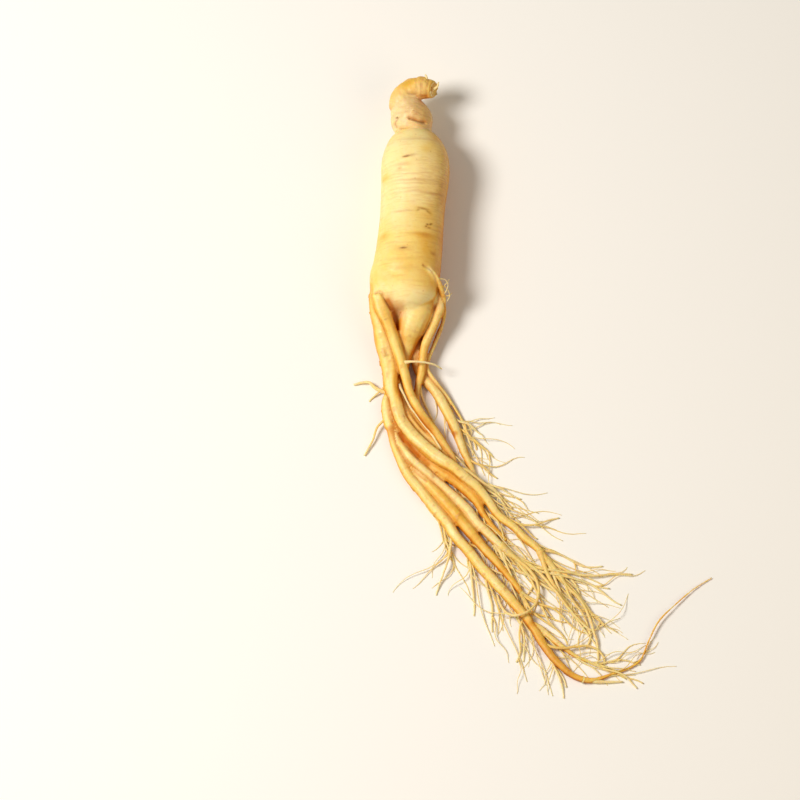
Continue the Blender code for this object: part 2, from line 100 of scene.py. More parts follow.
# The neck from the collar to the cut end of the old stem: x, y, height of the axis, radius
NECK = {
    "neck": (
        (0.3, 107.0, 13.2, 8.0),
        (0.0, 111.6, 13.4, 7.0),
        (-0.7, 114.4, 13.7, 8.2),
        (-1.6, 118.2, 14.0, 8.5),
        (-3.1, 122.0, 14.4, 7.2),
        (-4.4, 125.6, 15.0, 5.5),
        (-5.2, 128.2, 15.6, 3.5),
        (-5.2, 129.6, 16.0, 1.8),
    ),
    "crown": (
        (-6.3, 121.0, 14.6, 3.4),
        (-6.4, 124.0, 15.2, 4.5),
        (-5.2, 126.6, 15.8, 4.8),
        (-2.8, 128.9, 16.5, 4.6),
        (-0.3, 130.0, 17.1, 4.6),
        (2.6, 130.2, 17.4, 4.7),
        (5.2, 129.9, 17.5, 4.2),
        (7.2, 129.5, 17.5, 3.7),
        (8.6, 129.2, 17.5, 2.9),
    ),
}

# Legs from the hip to the tip: x, y, height of the axis, radius
LEGS = {
    "long_leg": (
        (-12.8, 47.0, 13.2, 3.6),
        (-14.8, 40.0, 12.8, 4.3),
        (-15.0, 33.6, 11.0, 3.5),
        (-13.8, 28.1, 9.3, 3.5),
        (-12.2, 20.6, 7.4, 3.8),
        (-10.8, 15.4, 5.9, 3.8),
        (-9.6, 9.2, 4.7, 3.7),
        (-9.4, 2.9, 4.0, 3.4),
        (-8.0, -2.4, 3.6, 3.3),
        (-6.3, -9.0, 3.3, 3.1),
        (-3.3, -14.3, 3.5, 3.0),
        (0.4, -18.7, 4.0, 2.9),
        (6.6, -24.8, 5.1, 2.8),
        (11.5, -28.7, 6.0, 2.6),
        (15.8, -31.6, 6.2, 2.4),
        (21.1, -36.1, 5.2, 2.2),
        (25.8, -39.8, 4.2, 2.0),
        (29.9, -45.1, 3.2, 1.9),
        (34.0, -51.0, 2.5, 1.8),
        (40.4, -56.1, 2.2, 1.7),
        (45.1, -61.0, 2.0, 1.7),
        (49.8, -65.0, 1.9, 1.6),
        (53.0, -69.0, 1.8, 1.4),
        (56.3, -73.5, 1.6, 1.1),
    ),
    "outer_leg": (
        (-9.6, 2.0, 3.6, 2.4),
        (-11.4, -1.2, 3.0, 2.1),
        (-11.9, -4.6, 2.6, 2.0),
        (-11.0, -10.0, 2.4, 2.1),
        (-9.2, -15.6, 2.4, 2.4),
        (-6.9, -23.5, 2.4, 2.4),
        (-3.0, -33.0, 2.3, 2.3),
        (3.2, -41.6, 2.3, 2.3),
        (8.2, -48.3, 2.3, 2.3),
        (13.1, -54.3, 2.3, 2.3),
        (16.4, -59.9, 2.3, 2.3),
        (21.3, -65.8, 2.3, 2.3),
        (26.2, -72.5, 2.3, 2.3),
        (31.2, -78.4, 2.3, 2.3),
        (36.0, -84.0, 2.3, 2.2),
        (40.6, -89.4, 2.2, 2.1),
        (45.1, -95.0, 2.1, 2.0),
        (48.6, -100.2, 2.0, 1.9),
        (51.7, -105.8, 1.9, 1.8),
        (54.9, -110.9, 1.8, 1.7),
        (59.0, -115.7, 1.7, 1.6),
        (64.0, -120.0, 1.5, 1.4),
        (68.9, -122.1, 1.3, 1.3),
        (72.6, -122.3, 1.1, 1.1),
        (76.7, -121.1, 0.9, 0.8),
        (81.6, -119.1, 0.8, 0.65),
        (86.9, -117.1, 0.8, 0.6),
        (92.2, -113.3, 0.9, 0.55),
        (95.5, -105.6, 1.4, 0.5),
        (99.6, -97.0, 1.8, 0.5),
        (106.6, -89.5, 1.4, 0.45),
        (114.0, -82.7, 0.8, 0.4),
        (121.8, -77.4, 0.5, 0.35),
    ),
    "outer_fork": (
        (48.0, -98.4, 1.9, 1.5),
        (51.2, -100.0, 1.6, 1.45),
        (54.9, -103.4, 1.4, 1.35),
        (59.0, -106.9, 1.3, 1.2),
        (62.3, -109.4, 1.1, 1.0),
        (66.4, -112.2, 0.9, 0.8),
        (71.8, -114.5, 0.7, 0.6),
        (75.8, -115.8, 0.6, 0.5),
        (79.1, -116.2, 0.5, 0.4),
    ),
    "second_leg": (
        (-9.4, -14.2, 2.4, 2.1),
        (-6.6, -20.2, 2.8, 2.2),
        (-2.7, -26.0, 3.2, 2.5),
        (2.3, -31.0, 3.0, 2.6),
        (7.0, -35.5, 2.6, 2.4),
        (11.9, -39.6, 2.4, 2.3),
        (16.8, -44.0, 2.3, 2.3),
        (21.6, -49.0, 2.2, 2.2),
        (25.2, -54.2, 2.1, 2.1),
        (29.8, -58.8, 2.0, 2.0),
        (34.3, -63.6, 1.9, 1.8),
        (39.4, -68.0, 1.7, 1.4),
        (42.5, -71.0, 1.5, 1.0),
    ),
    "inner_leg": (
        (-3.2, -26.4, 2.8, 1.7),
        (0.6, -31.9, 2.4, 2.2),
        (4.9, -36.8, 2.4, 2.4),
        (9.3, -41.8, 2.5, 2.5),
        (13.8, -47.2, 2.5, 2.5),
        (18.2, -52.8, 2.5, 2.5),
        (22.7, -58.5, 2.4, 2.4),
        (27.3, -64.4, 2.1, 2.1),
        (32.1, -69.8, 1.9, 1.9),
        (36.1, -74.7, 1.6, 1.6),
        (40.2, -79.9, 1.5, 1.4),
        (43.9, -85.1, 1.4, 1.1),
    ),
    "cross_leg": (
        (-14.6, 43.6, 14.4, 3.0),
        (-14.4, 39.2, 16.2, 3.4),
        (-13.1, 33.9, 15.3, 3.0),
        (-11.1, 29.2, 13.2, 2.6),
        (-9.0, 23.8, 11.2, 2.5),
        (-7.2, 18.4, 9.7, 2.4),
        (-5.3, 12.6, 8.8, 2.2),
        (-3.9, 7.1, 8.3, 2.0),
        (-2.3, 1.0, 7.4, 1.9),
        (0.4, -4.5, 6.4, 1.9),
        (3.7, -9.7, 5.3, 1.9),
        (7.8, -14.8, 4.0, 1.9),
        (11.5, -19.9, 2.8, 1.8),
        (15.2, -25.6, 1.8, 1.5),
        (17.7, -31.0, 1.5, 1.3),
        (20.6, -37.6, 1.3, 1.1),
        (25.6, -45.4, 1.1, 0.9),
        (30.4, -51.6, 0.9, 0.6),
    ),
    "middle_leg": (
        (1.2, 40.4, 11.2, 6.0),
        (1.0, 35.4, 10.9, 6.4),
        (-0.8, 30.8, 9.8, 6.1),
        (-2.2, 26.6, 8.3, 5.3),
        (-3.1, 21.6, 6.2, 3.6),
        (-4.6, 15.4, 4.2, 2.7),
        (-4.9, 7.8, 2.6, 2.2),
        (-3.4, 0.1, 2.0, 1.8),
        (-0.8, -7.1, 1.7, 1.5),
        (2.8, -12.5, 1.6, 1.4),
        (7.0, -18.0, 1.5, 1.3),
        (10.4, -23.0, 1.3, 1.2),
        (13.0, -28.4, 1.1, 1.0),
        (14.6, -34.0, 0.9, 0.8),
        (17.6, -39.6, 0.8, 0.6),
    ),
    "right_leg": (
        (4.7, 42.4, 10.6, 4.7),
        (4.6, 33.4, 6.2, 3.4),
        (1.8, 27.0, 4.2, 2.9),
        (0.4, 20.6, 3.0, 2.6),
        (1.0, 14.6, 2.5, 2.4),
        (3.4, 9.0, 2.3, 2.3),
        (7.7, 4.0, 2.3, 2.3),
        (11.6, -3.0, 2.3, 2.2),
        (15.6, -11.2, 2.2, 2.1),
        (18.2, -18.1, 2.0, 1.9),
        (20.2, -23.8, 1.8, 1.6),
        (22.6, -29.0, 1.4, 1.3),
        (24.6, -33.6, 1.0, 1.0),
        (27.4, -38.4, 0.8, 0.7),
    ),
    "slim_leg": (
        (7.6, 43.6, 12.2, 3.1),
        (10.1, 37.4, 10.8, 2.2),
        (9.2, 32.9, 10.4, 1.9),
        (7.1, 28.0, 9.0, 1.9),
        (4.7, 22.8, 7.8, 1.9),
        (3.6, 18.8, 7.0, 1.8),
        (3.0, 13.6, 6.3, 1.8),
        (2.6, 9.4, 5.6, 1.7),
        (1.4, 5.2, 4.2, 1.5),
        (0.8, 0.6, 2.8, 1.2),
        (2.2, -4.8, 1.6, 0.9),
        (5.4, -10.2, 0.9, 0.6),
    ),
    "valley_leg": (
        (-7.0, -12.5, 2.4, 2.0),
        (-4.6, -18.0, 2.2, 1.8),
        (-0.6, -23.2, 2.2, 1.8),
        (4.8, -28.2, 2.2, 2.1),
        (9.9, -31.9, 2.3, 2.3),
        (15.1, -35.2, 2.3, 2.3),
        (20.2, -39.6, 2.3, 2.2),
        (25.0, -44.6, 2.1, 2.0),
        (28.4, -51.0, 1.6, 1.4),
        (32.8, -56.8, 1.4, 1.1),
        (37.6, -61.8, 1.2, 0.8),
    ),
    "low_leg": (
        (-6.6, 3.6, 2.8, 1.7),
        (-4.8, -3.6, 2.4, 1.7),
        (-1.8, -9.4, 2.3, 1.7),
        (2.4, -14.8, 2.3, 1.6),
        (7.4, -19.6, 2.3, 1.5),
        (12.0, -24.0, 2.0, 1.3),
        (16.4, -28.4, 1.6, 1.1),
        (20.4, -33.4, 1.2, 0.8),
    ),
    "side_rootlet": (
        (2.6, 48.9, 22.4, 1.2),
        (5.0, 48.6, 24.0, 1.1),
        (7.6, 47.4, 22.8, 1.05),
        (9.5, 45.0, 20.0, 1.1),
        (10.9, 42.4, 16.4, 1.15),
        (11.8, 39.8, 12.9, 1.15),
        (12.1, 35.8, 9.6, 1.1),
        (11.6, 31.8, 7.2, 1.0),
        (9.8, 27.2, 5.4, 1.0),
        (7.6, 21.6, 4.8, 0.95),
        (5.6, 16.2, 4.9, 0.9),
        (5.2, 11.6, 4.8, 0.85),
        (9.0, 5.8, 3.9, 0.8),
        (13.1, 0.9, 2.2, 0.75),
        (17.4, -6.0, 1.4, 0.7),
        (19.4, -9.8, 0.9, 0.6),
        (20.6, -15.0, 0.5, 0.45),
    ),
}

# Loose rootlets that stand out on their own: x, y, height of the axis, radius
ROOTLETS = {
    "end_loop": (
        (51.7, -106.1, 1.6, 0.8),
        (55.3, -108.1, 2.4, 0.65),
        (60.3, -108.9, 2.6, 0.6),
        (66.0, -108.1, 2.2, 0.55),
        (70.9, -107.6, 1.6, 0.55),
        (75.0, -109.4, 1.1, 0.5),
        (77.1, -112.3, 0.8, 0.45),
        (77.5, -115.3, 0.5, 0.35),
    ),
    "end_whisker": (
        (68.4, -122.0, 1.2, 0.9),
        (75.0, -122.9, 0.9, 0.75),
        (79.9, -122.9, 0.7, 0.6),
        (84.9, -122.7, 0.5, 0.4),
    ),
    "fray_loop": (
        (37.6, -66.6, 1.8, 0.9),
        (44.3, -72.4, 2.4, 0.75),
        (47.6, -76.0, 2.8, 0.7),
        (50.0, -80.4, 2.8, 0.65),
        (50.6, -84.7, 2.6, 0.6),
        (49.2, -90.2, 3.6, 0.6),
        (45.5, -94.3, 5.3, 0.55),
        (41.0, -95.8, 5.4, 0.55),
        (37.3, -93.7, 3.6, 0.5),
        (34.9, -89.5, 1.6, 0.5),
        (33.6, -84.9, 0.8, 0.4),
    ),
    "fray_long": (
        (51.2, -66.4, 1.8, 1.1),
        (54.1, -76.3, 2.2, 0.9),
        (58.2, -83.5, 1.8, 0.8),
        (61.9, -89.0, 1.4, 0.7),
        (66.0, -94.1, 1.0, 0.65),
        (70.1, -98.8, 0.8, 0.6),
        (71.8, -102.3, 0.7, 0.55),
        (71.3, -105.3, 0.6, 0.45),
        (70.1, -108.3, 0.5, 0.35),
    ),
    "fray_outer": (
        (54.3, -70.6, 1.8, 1.0),
        (58.6, -76.2, 2.0, 0.85),
        (62.3, -81.9, 2.2, 0.75),
        (66.8, -86.6, 2.0, 0.7),
        (69.7, -91.3, 1.6, 0.65),
        (71.8, -96.6, 1.8, 0.6),
        (73.4, -102.5, 1.4, 0.55),
        (74.6, -107.1, 0.9, 0.5),
        (75.0, -113.5, 0.5, 0.35),
    ),
    "fray_middle": (
        (34.9, -64.0, 1.9, 1.1),
        (41.4, -69.5, 1.8, 0.9),
        (47.6, -73.0, 1.8, 0.8),
        (52.1, -77.5, 2.2, 0.7),
        (57.8, -84.7, 2.8, 0.65),
        (62.3, -90.7, 2.4, 0.6),
        (67.2, -96.6, 1.8, 0.55),
        (71.8, -100.6, 1.4, 0.5),
        (74.6, -99.7, 0.8, 0.4),
        (75.8, -96.1, 0.5, 0.35),
    ),
    "fray_short": (
        (33.2, -63.0, 1.9, 0.9),
        (36.9, -71.1, 1.4, 0.75),
        (41.4, -74.6, 1.0, 0.65),
        (46.7, -76.9, 0.8, 0.6),
        (48.4, -80.6, 0.7, 0.5),
        (45.9, -85.0, 0.5, 0.35),
    ),
    "bridge_whisker": (
        (-4.6, 12.8, 9.6, 0.7),
        (-0.6, 12.9, 10.8, 0.5),
        (5.2, 12.4, 10.4, 0.45),
        (8.6, 11.9, 8.8, 0.4),
        (11.0, 11.0, 6.8, 0.35),
    ),
    "valley_whisker": (
        (-7.0, 5.8, 4.8, 0.7),
        (-4.6, 0.8, 5.2, 0.5),
        (-2.0, -4.6, 4.8, 0.45),
        (2.4, -10.7, 4.4, 0.45),
        (7.2, -17.2, 4.2, 0.45),
        (10.8, -22.9, 3.4, 0.4),
    ),
    "amber_whisker": (
        (1.4, 5.0, 3.6, 0.9),
        (2.6, 1.5, 2.2, 0.6),
        (3.9, -2.0, 1.0, 0.5),
        (8.0, -10.7, 0.6, 0.35),
    ),
    "ridge_whisker": (
        (17.4, -32.6, 5.8, 0.9),
        (21.2, -32.8, 6.0, 0.8),
        (24.0, -34.6, 5.0, 0.7),
        (28.3, -37.4, 3.4, 0.6),
        (32.8, -39.9, 1.9, 0.55),
        (36.1, -44.0, 1.1, 0.5),
        (39.8, -47.7, 0.6, 0.4),
    ),
    "left_hook": (
        (-10.0, 1.6, 3.0, 0.9),
        (-15.4, 3.6, 2.8, 0.75),
        (-18.6, 6.8, 2.0, 0.65),
        (-21.4, 7.2, 1.2, 0.55),
        (-25.2, 6.4, 0.7, 0.4),
    ),
    "left_whisker": (
        (-11.0, -8.4, 2.4, 0.7),
        (-15.2, -12.4, 2.6, 0.5),
        (-17.4, -18.2, 1.6, 0.45),
        (-20.8, -24.6, 0.6, 0.35),
    ),
    "crown_whisker": (
        (4.8, 131.6, 19.8, 0.6),
        (4.9, 133.3, 20.4, 0.5),
        (4.2, 134.9, 20.9, 0.35),
    ),
    "crown_husk": (
        (7.0, 129.2, 18.2, 0.8),
        (8.4, 129.7, 18.8, 0.55),
        (9.4, 130.5, 19.6, 0.45),
        (9.7, 131.8, 20.0, 0.35),
    ),
}

# Frayed ends: the leg, share along it, rootlets, spread in degrees, length, radius
SPRAYS = (
    ("long_leg", 1.00, 6, 44, 40, 0.75),
    ("second_leg", 1.00, 5, 44, 38, 0.70),
    ("inner_leg", 1.00, 4, 44, 32, 0.65),
    ("outer_leg", 0.60, 2, 50, 24, 0.65),
    ("outer_fork", 0.85, 3, 60, 20, 0.50),
    ("cross_leg", 0.96, 2, 40, 24, 0.50),
    ("middle_leg", 0.97, 2, 50, 22, 0.50),
    ("right_leg", 0.97, 3, 60, 28, 0.60),
    ("slim_leg", 0.95, 2, 60, 18, 0.45),
    ("side_rootlet", 0.95, 2, 60, 18, 0.45),
)

# Rootlets along a leg: the leg, shares from and to, number, side (1 left, -1 right), length
FRINGES = (
    ("outer_leg", 0.20, 0.54, 6, -1, 30),
    ("outer_leg", 0.30, 0.56, 3, 1, 22),
    ("long_leg", 0.62, 0.95, 4, 1, 28),
    ("second_leg", 0.60, 0.92, 3, -1, 24),
    ("right_leg", 0.55, 0.90, 3, 1, 24),
    ("long_leg", 0.20, 0.34, 1, -1, 20),
)

# The middle of the root's length and width in these tables, which the model has at its origin
MIDDLE = Vector((48.3575, 2.5906, 0.0))

# How the rootlets grow: ranges that each one draws from, with angles in degrees
SPRAY_DEPTH = 0.013
SPRAY_REACH = (0.7, 1.1)
FRINGE_RADIUS = 0.6
FRINGE_ANGLE = 38.0
FRINGE_SPREAD = (0.6, 1.2)
FRINGE_REACH = (0.6, 1.1)
FRINGE_PLACE = (0.2, 0.8)
TIP_RADIUS = 0.3
WAVES = (0.7, 1.7)
SWAY = (5.0, 18.0)
BEND = (-26.0, 30.0)
LIFT = (0.0, 2.2)
SINK_RATE = 2.5
FINE_STEPS = 24
LEG_STEP = 5.0

# Skin meshes: voxel size and rounds of smoothing
BLEND_VOXEL = 0.8
BLEND_ROUNDS = 14
SKIN_VOXEL = 0.50
SEAM = 0.5
SEAM_ROUNDS = 9
SKIN_ROUNDS = 4
HIP_ROUNDS = 12
SOFT_FROM = 14.0
SOFT_REACH = 90.0
NECK_VOXEL = 0.26
NECK_ROUNDS = 7
WELD = 1e-7

# Growth rings pressed into the body: y, side angle and half its reach in degrees (0 is the top,
# positive is the right flank), depth, width, and how brown the line is
RINGS = (
    (105.4, -4, 34, 0.05, 0.45, 0.35),
    (89.6, -20, 22, 0.13, 0.32, 0.55),
    (88.4, -28, 14, 0.09, 0.30, 0.40),
    (86.9, 2, 42, 0.12, 0.50, 0.55),
    (85.6, 4, 38, 0.10, 0.38, 0.45),
    (83.6, -8, 26, 0.06, 0.40, 0.25),
    (82.2, 4, 26, 0.12, 0.40, 0.45),
    (81.6, 42, 26, 0.36, 0.50, 0.90),
    (79.6, 52, 20, 0.16, 0.34, 0.45),
    (77.0, 46, 24, 0.12, 0.34, 0.35),
    (73.6, -14, 26, 0.07, 0.50, 0.35),
    (70.6, 38, 22, 0.10, 0.40, 0.30),
    (68.0, 55, 22, 0.22, 0.42, 0.50),
    (66.0, 52, 26, 0.16, 0.36, 0.40),
    (63.4, 24, 26, 0.08, 0.60, 0.45),
    (60.6, 50, 20, 0.12, 0.36, 0.35),
    (52.4, -6, 36, 0.08, 0.70, 0.20),
    (48.4, -10, 28, 0.14, 0.95, 0.25),
)

# Marks on the top of the body: x, y, half length, half width, turn in degrees, depth, brown, rosy,
# golden
SCARS = (
    (-3.5, 97.0, 1.5, 0.34, 7, 0.46, 1.0, 0.5, 0.0),
    (-2.2, 97.3, 2.2, 0.40, 9, 0.12, 0.25, 0.4, 0.0),
    (-5.0, 93.6, 2.4, 0.45, 0, 0.05, 0.0, 0.45, 0.0),
    (-6.3, 92.1, 0.8, 0.45, 0, 0.07, 0.12, 0.4, 0.0),
    (-5.6, 91.0, 2.2, 0.40, 0, 0.06, 0.05, 0.35, 0.0),
    (4.2, 100.6, 1.8, 1.2, 0, 0.0, 0.0, 0.0, 0.24),
    (-4.7, 56.9, 1.4, 0.40, 0, 0.34, 0.95, 0.5, 0.0),
    (-4.9, 56.7, 2.6, 0.7, 0, 0.0, 0.0, 0.45, 0.0),
    (3.4, 74.5, 2.2, 0.36, -6, 0.20, 0.60, 0.4, 0.2),
    (1.4, 73.9, 0.9, 0.4, 30, 0.08, 0.35, 0.3, 0.2),
    (5.6, 73.3, 1.2, 0.4, -34, 0.14, 0.45, 0.4, 0.2),
    (3.6, 71.6, 2.6, 1.2, 0, 0.03, 0.0, 0.10, 0.14),
    (5.2, 67.7, 0.5, 0.34, 0, 0.20, 1.0, 0.4, 0.2),
    (6.5, 68.1, 0.6, 0.34, 20, 0.20, 1.0, 0.4, 0.2),
    (4.6, 66.8, 0.4, 0.34, 0, 0.14, 0.8, 0.3, 0.2),
    (5.8, 66.5, 0.7, 0.28, 0, 0.10, 0.6, 0.3, 0.2),
    (7.4, 55.6, 1.0, 0.5, 10, 0.05, 0.15, 0.2, 0.2),
    (3.7, 62.9, 3.4, 0.6, -2, 0.02, 0.0, 0.15, 0.26),
    (-12.6, 63.4, 1.6, 0.9, 0, 0.04, 0.0, 0.10, 0.26),
    (-12.2, 89.4, 1.4, 0.9, 0, 0.03, 0.0, 0.05, 0.28),
    (-2.6, 48.4, 5.0, 0.7, 0, 0.05, 0.0, 0.15, 0.16),
    (-3.0, 49.6, 6.0, 3.0, 0, 0.0, 0.0, 0.0, 0.14),
)

# Creases in the body's skin, as lines of x and y: the line, half width, depth, swelling on the
# line's right, warm
CREASES = (
    (((-15.9, 39.9), (-15.0, 40.3), (-13.8, 39.5), (-12.3, 37.4), (-11.1, 35.4), (-9.9, 33.8)), (0.50, 1.0, 0.25, 0.45)),
    (((3.6, 49.6), (6.2, 48.7), (7.9, 46.7), (9.1, 43.4), (9.5, 39.8), (9.1, 37.6), (7.5, 35.4)), (0.42, 0.60, 0.15, 0.30)),
    (((-5.0, 34.0), (-3.6, 34.6), (0.0, 35.0), (3.7, 34.8), (7.5, 34.4)), (0.42, 0.18, 0.10, 0.12)),
)

# Grooves between the legs, as lines of x and y: the line, half width, depth, and how strong the painted shade along it
# is; the last two lines, with no depth, are painted shade only in the crotch under the left hip
GROOVES_AND_SHADE = (
    (((-11.4, -1.4), (-10.3, -5.1), (-9.4, -8.6), (-8.2, -12.1), (-6.4, -15.6), (-4.3, -19.1)), (0.62, 0.55, 0.85)),
    (((-6.4, -15.6), (-4.3, -19.1), (-1.2, -22.6), (1.9, -26.1)), (1.05, 0.45, 1.0)),
    (((-1.2, -22.6), (1.9, -26.1), (5.4, -29.6)), (1.5, 0.25, 0.8)),
    (((-6.8, -22.4), (-4.8, -26.2), (-2.4, -30.0), (1.0, -34.0), (4.6, -37.0)), (0.7, 0.45, 0.60)),
    (((-11.2, 36.6), (-9.8, 35.0), (-8.4, 33.2), (-7.4, 31.2), (-7.0, 29.0), (-6.8, 26.8)), (1.8, 0.0, 0.85)),
    (((-9.4, 35.3), (-7.6, 35.3), (-5.6, 34.9)), (1.3, 0.0, 0.55)),
)

# Folds on the neck, as lines of x and y: the line, half width, depth, lip below it, and brown, which darkens the line
# and paints shade on the slope above it
NECK_FOLDS = (
    (((-2.1, 115.0), (-0.4, 114.6), (1.4, 114.0), (2.9, 113.7), (4.2, 114.0)), 0.42, 0.85, 0.40, 0.75),
    (((-7.2, 115.9), (-7.9, 115.2), (-8.2, 114.0), (-7.8, 112.8)), 0.32, 0.40, 0.15, 0.5),
    (((-6.6, 111.7), (-4.4, 111.1), (0.0, 110.8), (3.4, 110.7), (6.6, 110.2)), 0.28, 0.26, 0.0, 0.35),
    (((2.6, 112.6), (4.8, 112.2), (6.8, 111.8)), 0.28, 0.10, 0.0, 0.15),
    (((-2.6, 126.5), (-1.2, 126.4), (0.4, 126.5)), 0.36, 0.15, 0.0, 0.45),
    (((-8.0, 118.6), (-5.0, 118.0), (-2.0, 118.4)), 0.35, 0.08, 0.0, 0.12),
    (((0.6, 117.8), (3.0, 117.0), (5.4, 116.6)), 0.35, 0.06, 0.0, 0.12),
)
NECK_BUMPS = (
    (-7.0, 114.4, 1.15, 0.45),
    (0.0, 118.4, 1.6, 0.20),
    (-4.6, 122.6, 1.5, 0.20),
    (-7.0, 120.4, 1.2, 0.20),
    (-2.2, 133.2, 1.2, 0.30),
    (0.4, 133.8, 0.9, -0.25),
    (2.8, 134.2, 1.6, 0.25),
    (4.7, 131.6, 0.5, -0.30),
)

# Small warts on the neck: the middle of their patch, its half width and their height
WARTS = (-1.4, 118.9, 1.7, 0.16)

# Where the old stem broke off: the middle of the break, and the way it faces
BREAK = (7.6, 129.4, 17.6)
BREAK_FACING = (0.880, -0.264, 0.395)
BREAK_RADIUS = 3.5
HOLE = (7.5, 129.1)

# How warm the skin is where each part has its own colour, from cream at 0 to amber at 1; inner_leg and valley_leg,
# which lie low between the others, are set warmer partly as painted shade
WARMTH = {
    "body": 0.01,
    "long_leg": 0.20,
    "outer_leg": 0.22,
    "outer_fork": 0.28,
    "second_leg": 0.07,
    "inner_leg": 0.50,
    "cross_leg": 0.35,
    "middle_leg": 0.30,
    "right_leg": 0.20,
    "slim_leg": 0.38,
    "valley_leg": 0.58,
    "low_leg": 0.24,
    "side_rootlet": 0.24,
}
# Warmer patches on the legs: skin marks on the right leg, painted shade on the long and cross legs where they lie
# beside or under another leg, and a warmer outer leg end: the leg, x, y, half length, half width, turn in degrees,
# warm, rosy
MARKS_AND_SHADE_PATCHES = (
    ("long_leg", -7.6, 5.0, 7.0, 1.6, -80, 0.48, 0.12),
    ("right_leg", 15.8, -16.2, 1.7, 1.3, 0, 0.70, 0.90),
    ("right_leg", 14.6, -13.6, 2.8, 1.0, -62, 0.30, 0.40),
    ("outer_leg", 50.0, -107.0, 22.0, 5.0, -50, 0.22, 0.20),
    ("cross_leg", -12.6, 33.0, 6.0, 1.6, -68, 0.30, 0.10),
    ("cross_leg", 4.2, -12.4, 7.0, 1.6, -55, 0.40, 0.20),
)
PALE_ROOTLETS = ("bridge_whisker", "valley_whisker")
YOUNG = 24.0
HAIR_COUNT = 120

# Long thin rootlets beside the legs: the leg, shares from and to, number, length
THREADS = (
    ("long_leg", 0.50, 0.98, 12, 50),
    ("second_leg", 0.35, 0.98, 13, 48),
    ("outer_leg", 0.22, 0.62, 12, 46),
    ("valley_leg", 0.50, 0.98, 6, 40),
    ("inner_leg", 0.40, 0.98, 6, 40),
    ("right_leg", 0.45, 0.95, 4, 30),
    ("cross_leg", 0.60, 0.95, 4, 30),
    ("outer_fork", 0.20, 0.90, 4, 26),
)
THREAD_RADIUS = (0.26, 0.46)
THREAD_ASIDE = 13.0
THREAD_SWAY = (3.0, 11.0)
THREAD_BEND = (-24.0, 16.0)

# Loops of fine hair beside the side rootlet: x, y, height of the axis, radius
CURLS = (
    ((9.6, 45.6, 20.2, 0.30), (12.2, 45.8, 18.6, 0.24), (13.6, 44.0, 16.8, 0.20), (12.6, 41.6, 15.6, 0.18), (11.6, 40.6, 15.2, 0.14)),
    ((10.4, 43.6, 18.4, 0.28), (13.0, 42.8, 16.2, 0.22), (14.2, 40.6, 14.2, 0.18), (13.2, 38.4, 12.8, 0.14)),
    ((11.0, 42.2, 16.4, 0.26), (12.6, 44.2, 17.4, 0.20), (14.0, 46.4, 17.0, 0.14)),
    ((11.6, 40.4, 13.8, 0.26), (13.8, 40.4, 14.0, 0.20), (15.2, 41.8, 13.4, 0.14)),
)


def deselect():
    bpy.ops.object.select_all(action="DESELECT")


def activate(obj):
    deselect()
    obj.select_set(True)
    bpy.context.view_layer.objects.active = obj


def place(point):
    """A point of the tables in the model's own frame, in metres."""
    return (Vector(point[:3]) - MIDDLE) * MM


def catmull_rom(a, b, c, d, t):
    """The point at t between b and c on the smooth curve through a, b, c and d."""
    return 0.5 * (2 * b + (c - a) * t + (2 * a - 5 * b + 4 * c - d) * t * t + (3 * b - a - 3 * c + d) * t**3)


def smooth_route(points, step):
    """The route resampled about every step along a smooth curve, held above the surface."""
    knots = [Vector(p) for p in points]
    knots = [2 * knots[0] - knots[1], *knots, 2 * knots[-1] - knots[-2]]
    route = []
    for i in range(1, len(knots) - 2):
        pieces = max(1, round((knots[i + 1] - knots[i]).length / step))
        for k in range(pieces):
            route.append(catmull_rom(*knots[i - 1 : i + 3], k / pieces))
    route.append(knots[-2])
    for point in route:
        point.z = max(point.z, point.w)
    return route


def tubes(name, routes, sides):
    """Round closed tubes along the routes, together in one mesh."""
    deselect()
    bpy.ops.curve.primitive_nurbs_path_add(radius=MM)
    obj = bpy.context.active_object
    obj.name = name
    line = obj.data
    line.splines.clear()
    line.bevel_depth = MM
    line.bevel_resolution = (sides - 4) // 2
    line.use_fill_caps = True
    for route in routes:
        spline = line.splines.new("POLY")
        spline.points.add(len(route) - 1)
        for knot, point in zip(spline.points, route):
            knot.co = (*place(point), 1.0)
            knot.radius = point[3]
    bpy.ops.object.convert(target="MESH")
    weld(obj)
    return obj


def weld(obj):
    """Joins caps to sides and turns all faces outwards."""
    activate(obj)
    bpy.ops.object.mode_set(mode="EDIT")
    bpy.ops.mesh.select_all(action="SELECT")
    bpy.ops.mesh.remove_doubles(threshold=WELD)
    bpy.ops.mesh.normals_make_consistent(inside=False)
    bpy.ops.object.mode_set(mode="OBJECT")


def ball(name, centre, radii, turn, sides):
    """A ball stretched to three radii and turned about Z."""
    deselect()
    bpy.ops.mesh.primitive_uv_sphere_add(
        segments=sides,
        ring_count=sides // 2,
        radius=MM,
        location=place(centre),
        rotation=(0, 0, math.radians(turn)),
    )
    obj = bpy.context.active_object
    obj.name = name
    obj.scale = radii
    bpy.ops.object.transform_apply(location=True, rotation=True, scale=True)
    return obj


def join(target, others):
    activate(target)
    for obj in others:
        obj.select_set(True)
    bpy.ops.object.join()
    return target


def reskin(obj, voxel, rounds):
    """Covers overlapping shapes with one even skin and lets it settle."""
    activate(obj)
    skin = obj.modifiers.new("reskin", "REMESH")
    skin.mode = "VOXEL"
    skin.voxel_size = voxel * MM
    skin.use_smooth_shade = True
    bpy.ops.object.modifier_apply(modifier=skin.name)
    settle = obj.modifiers.new("settle", "SMOOTH")
    settle.factor = 0.5
    settle.iterations = rounds
    bpy.ops.object.modifier_apply(modifier=settle.name)


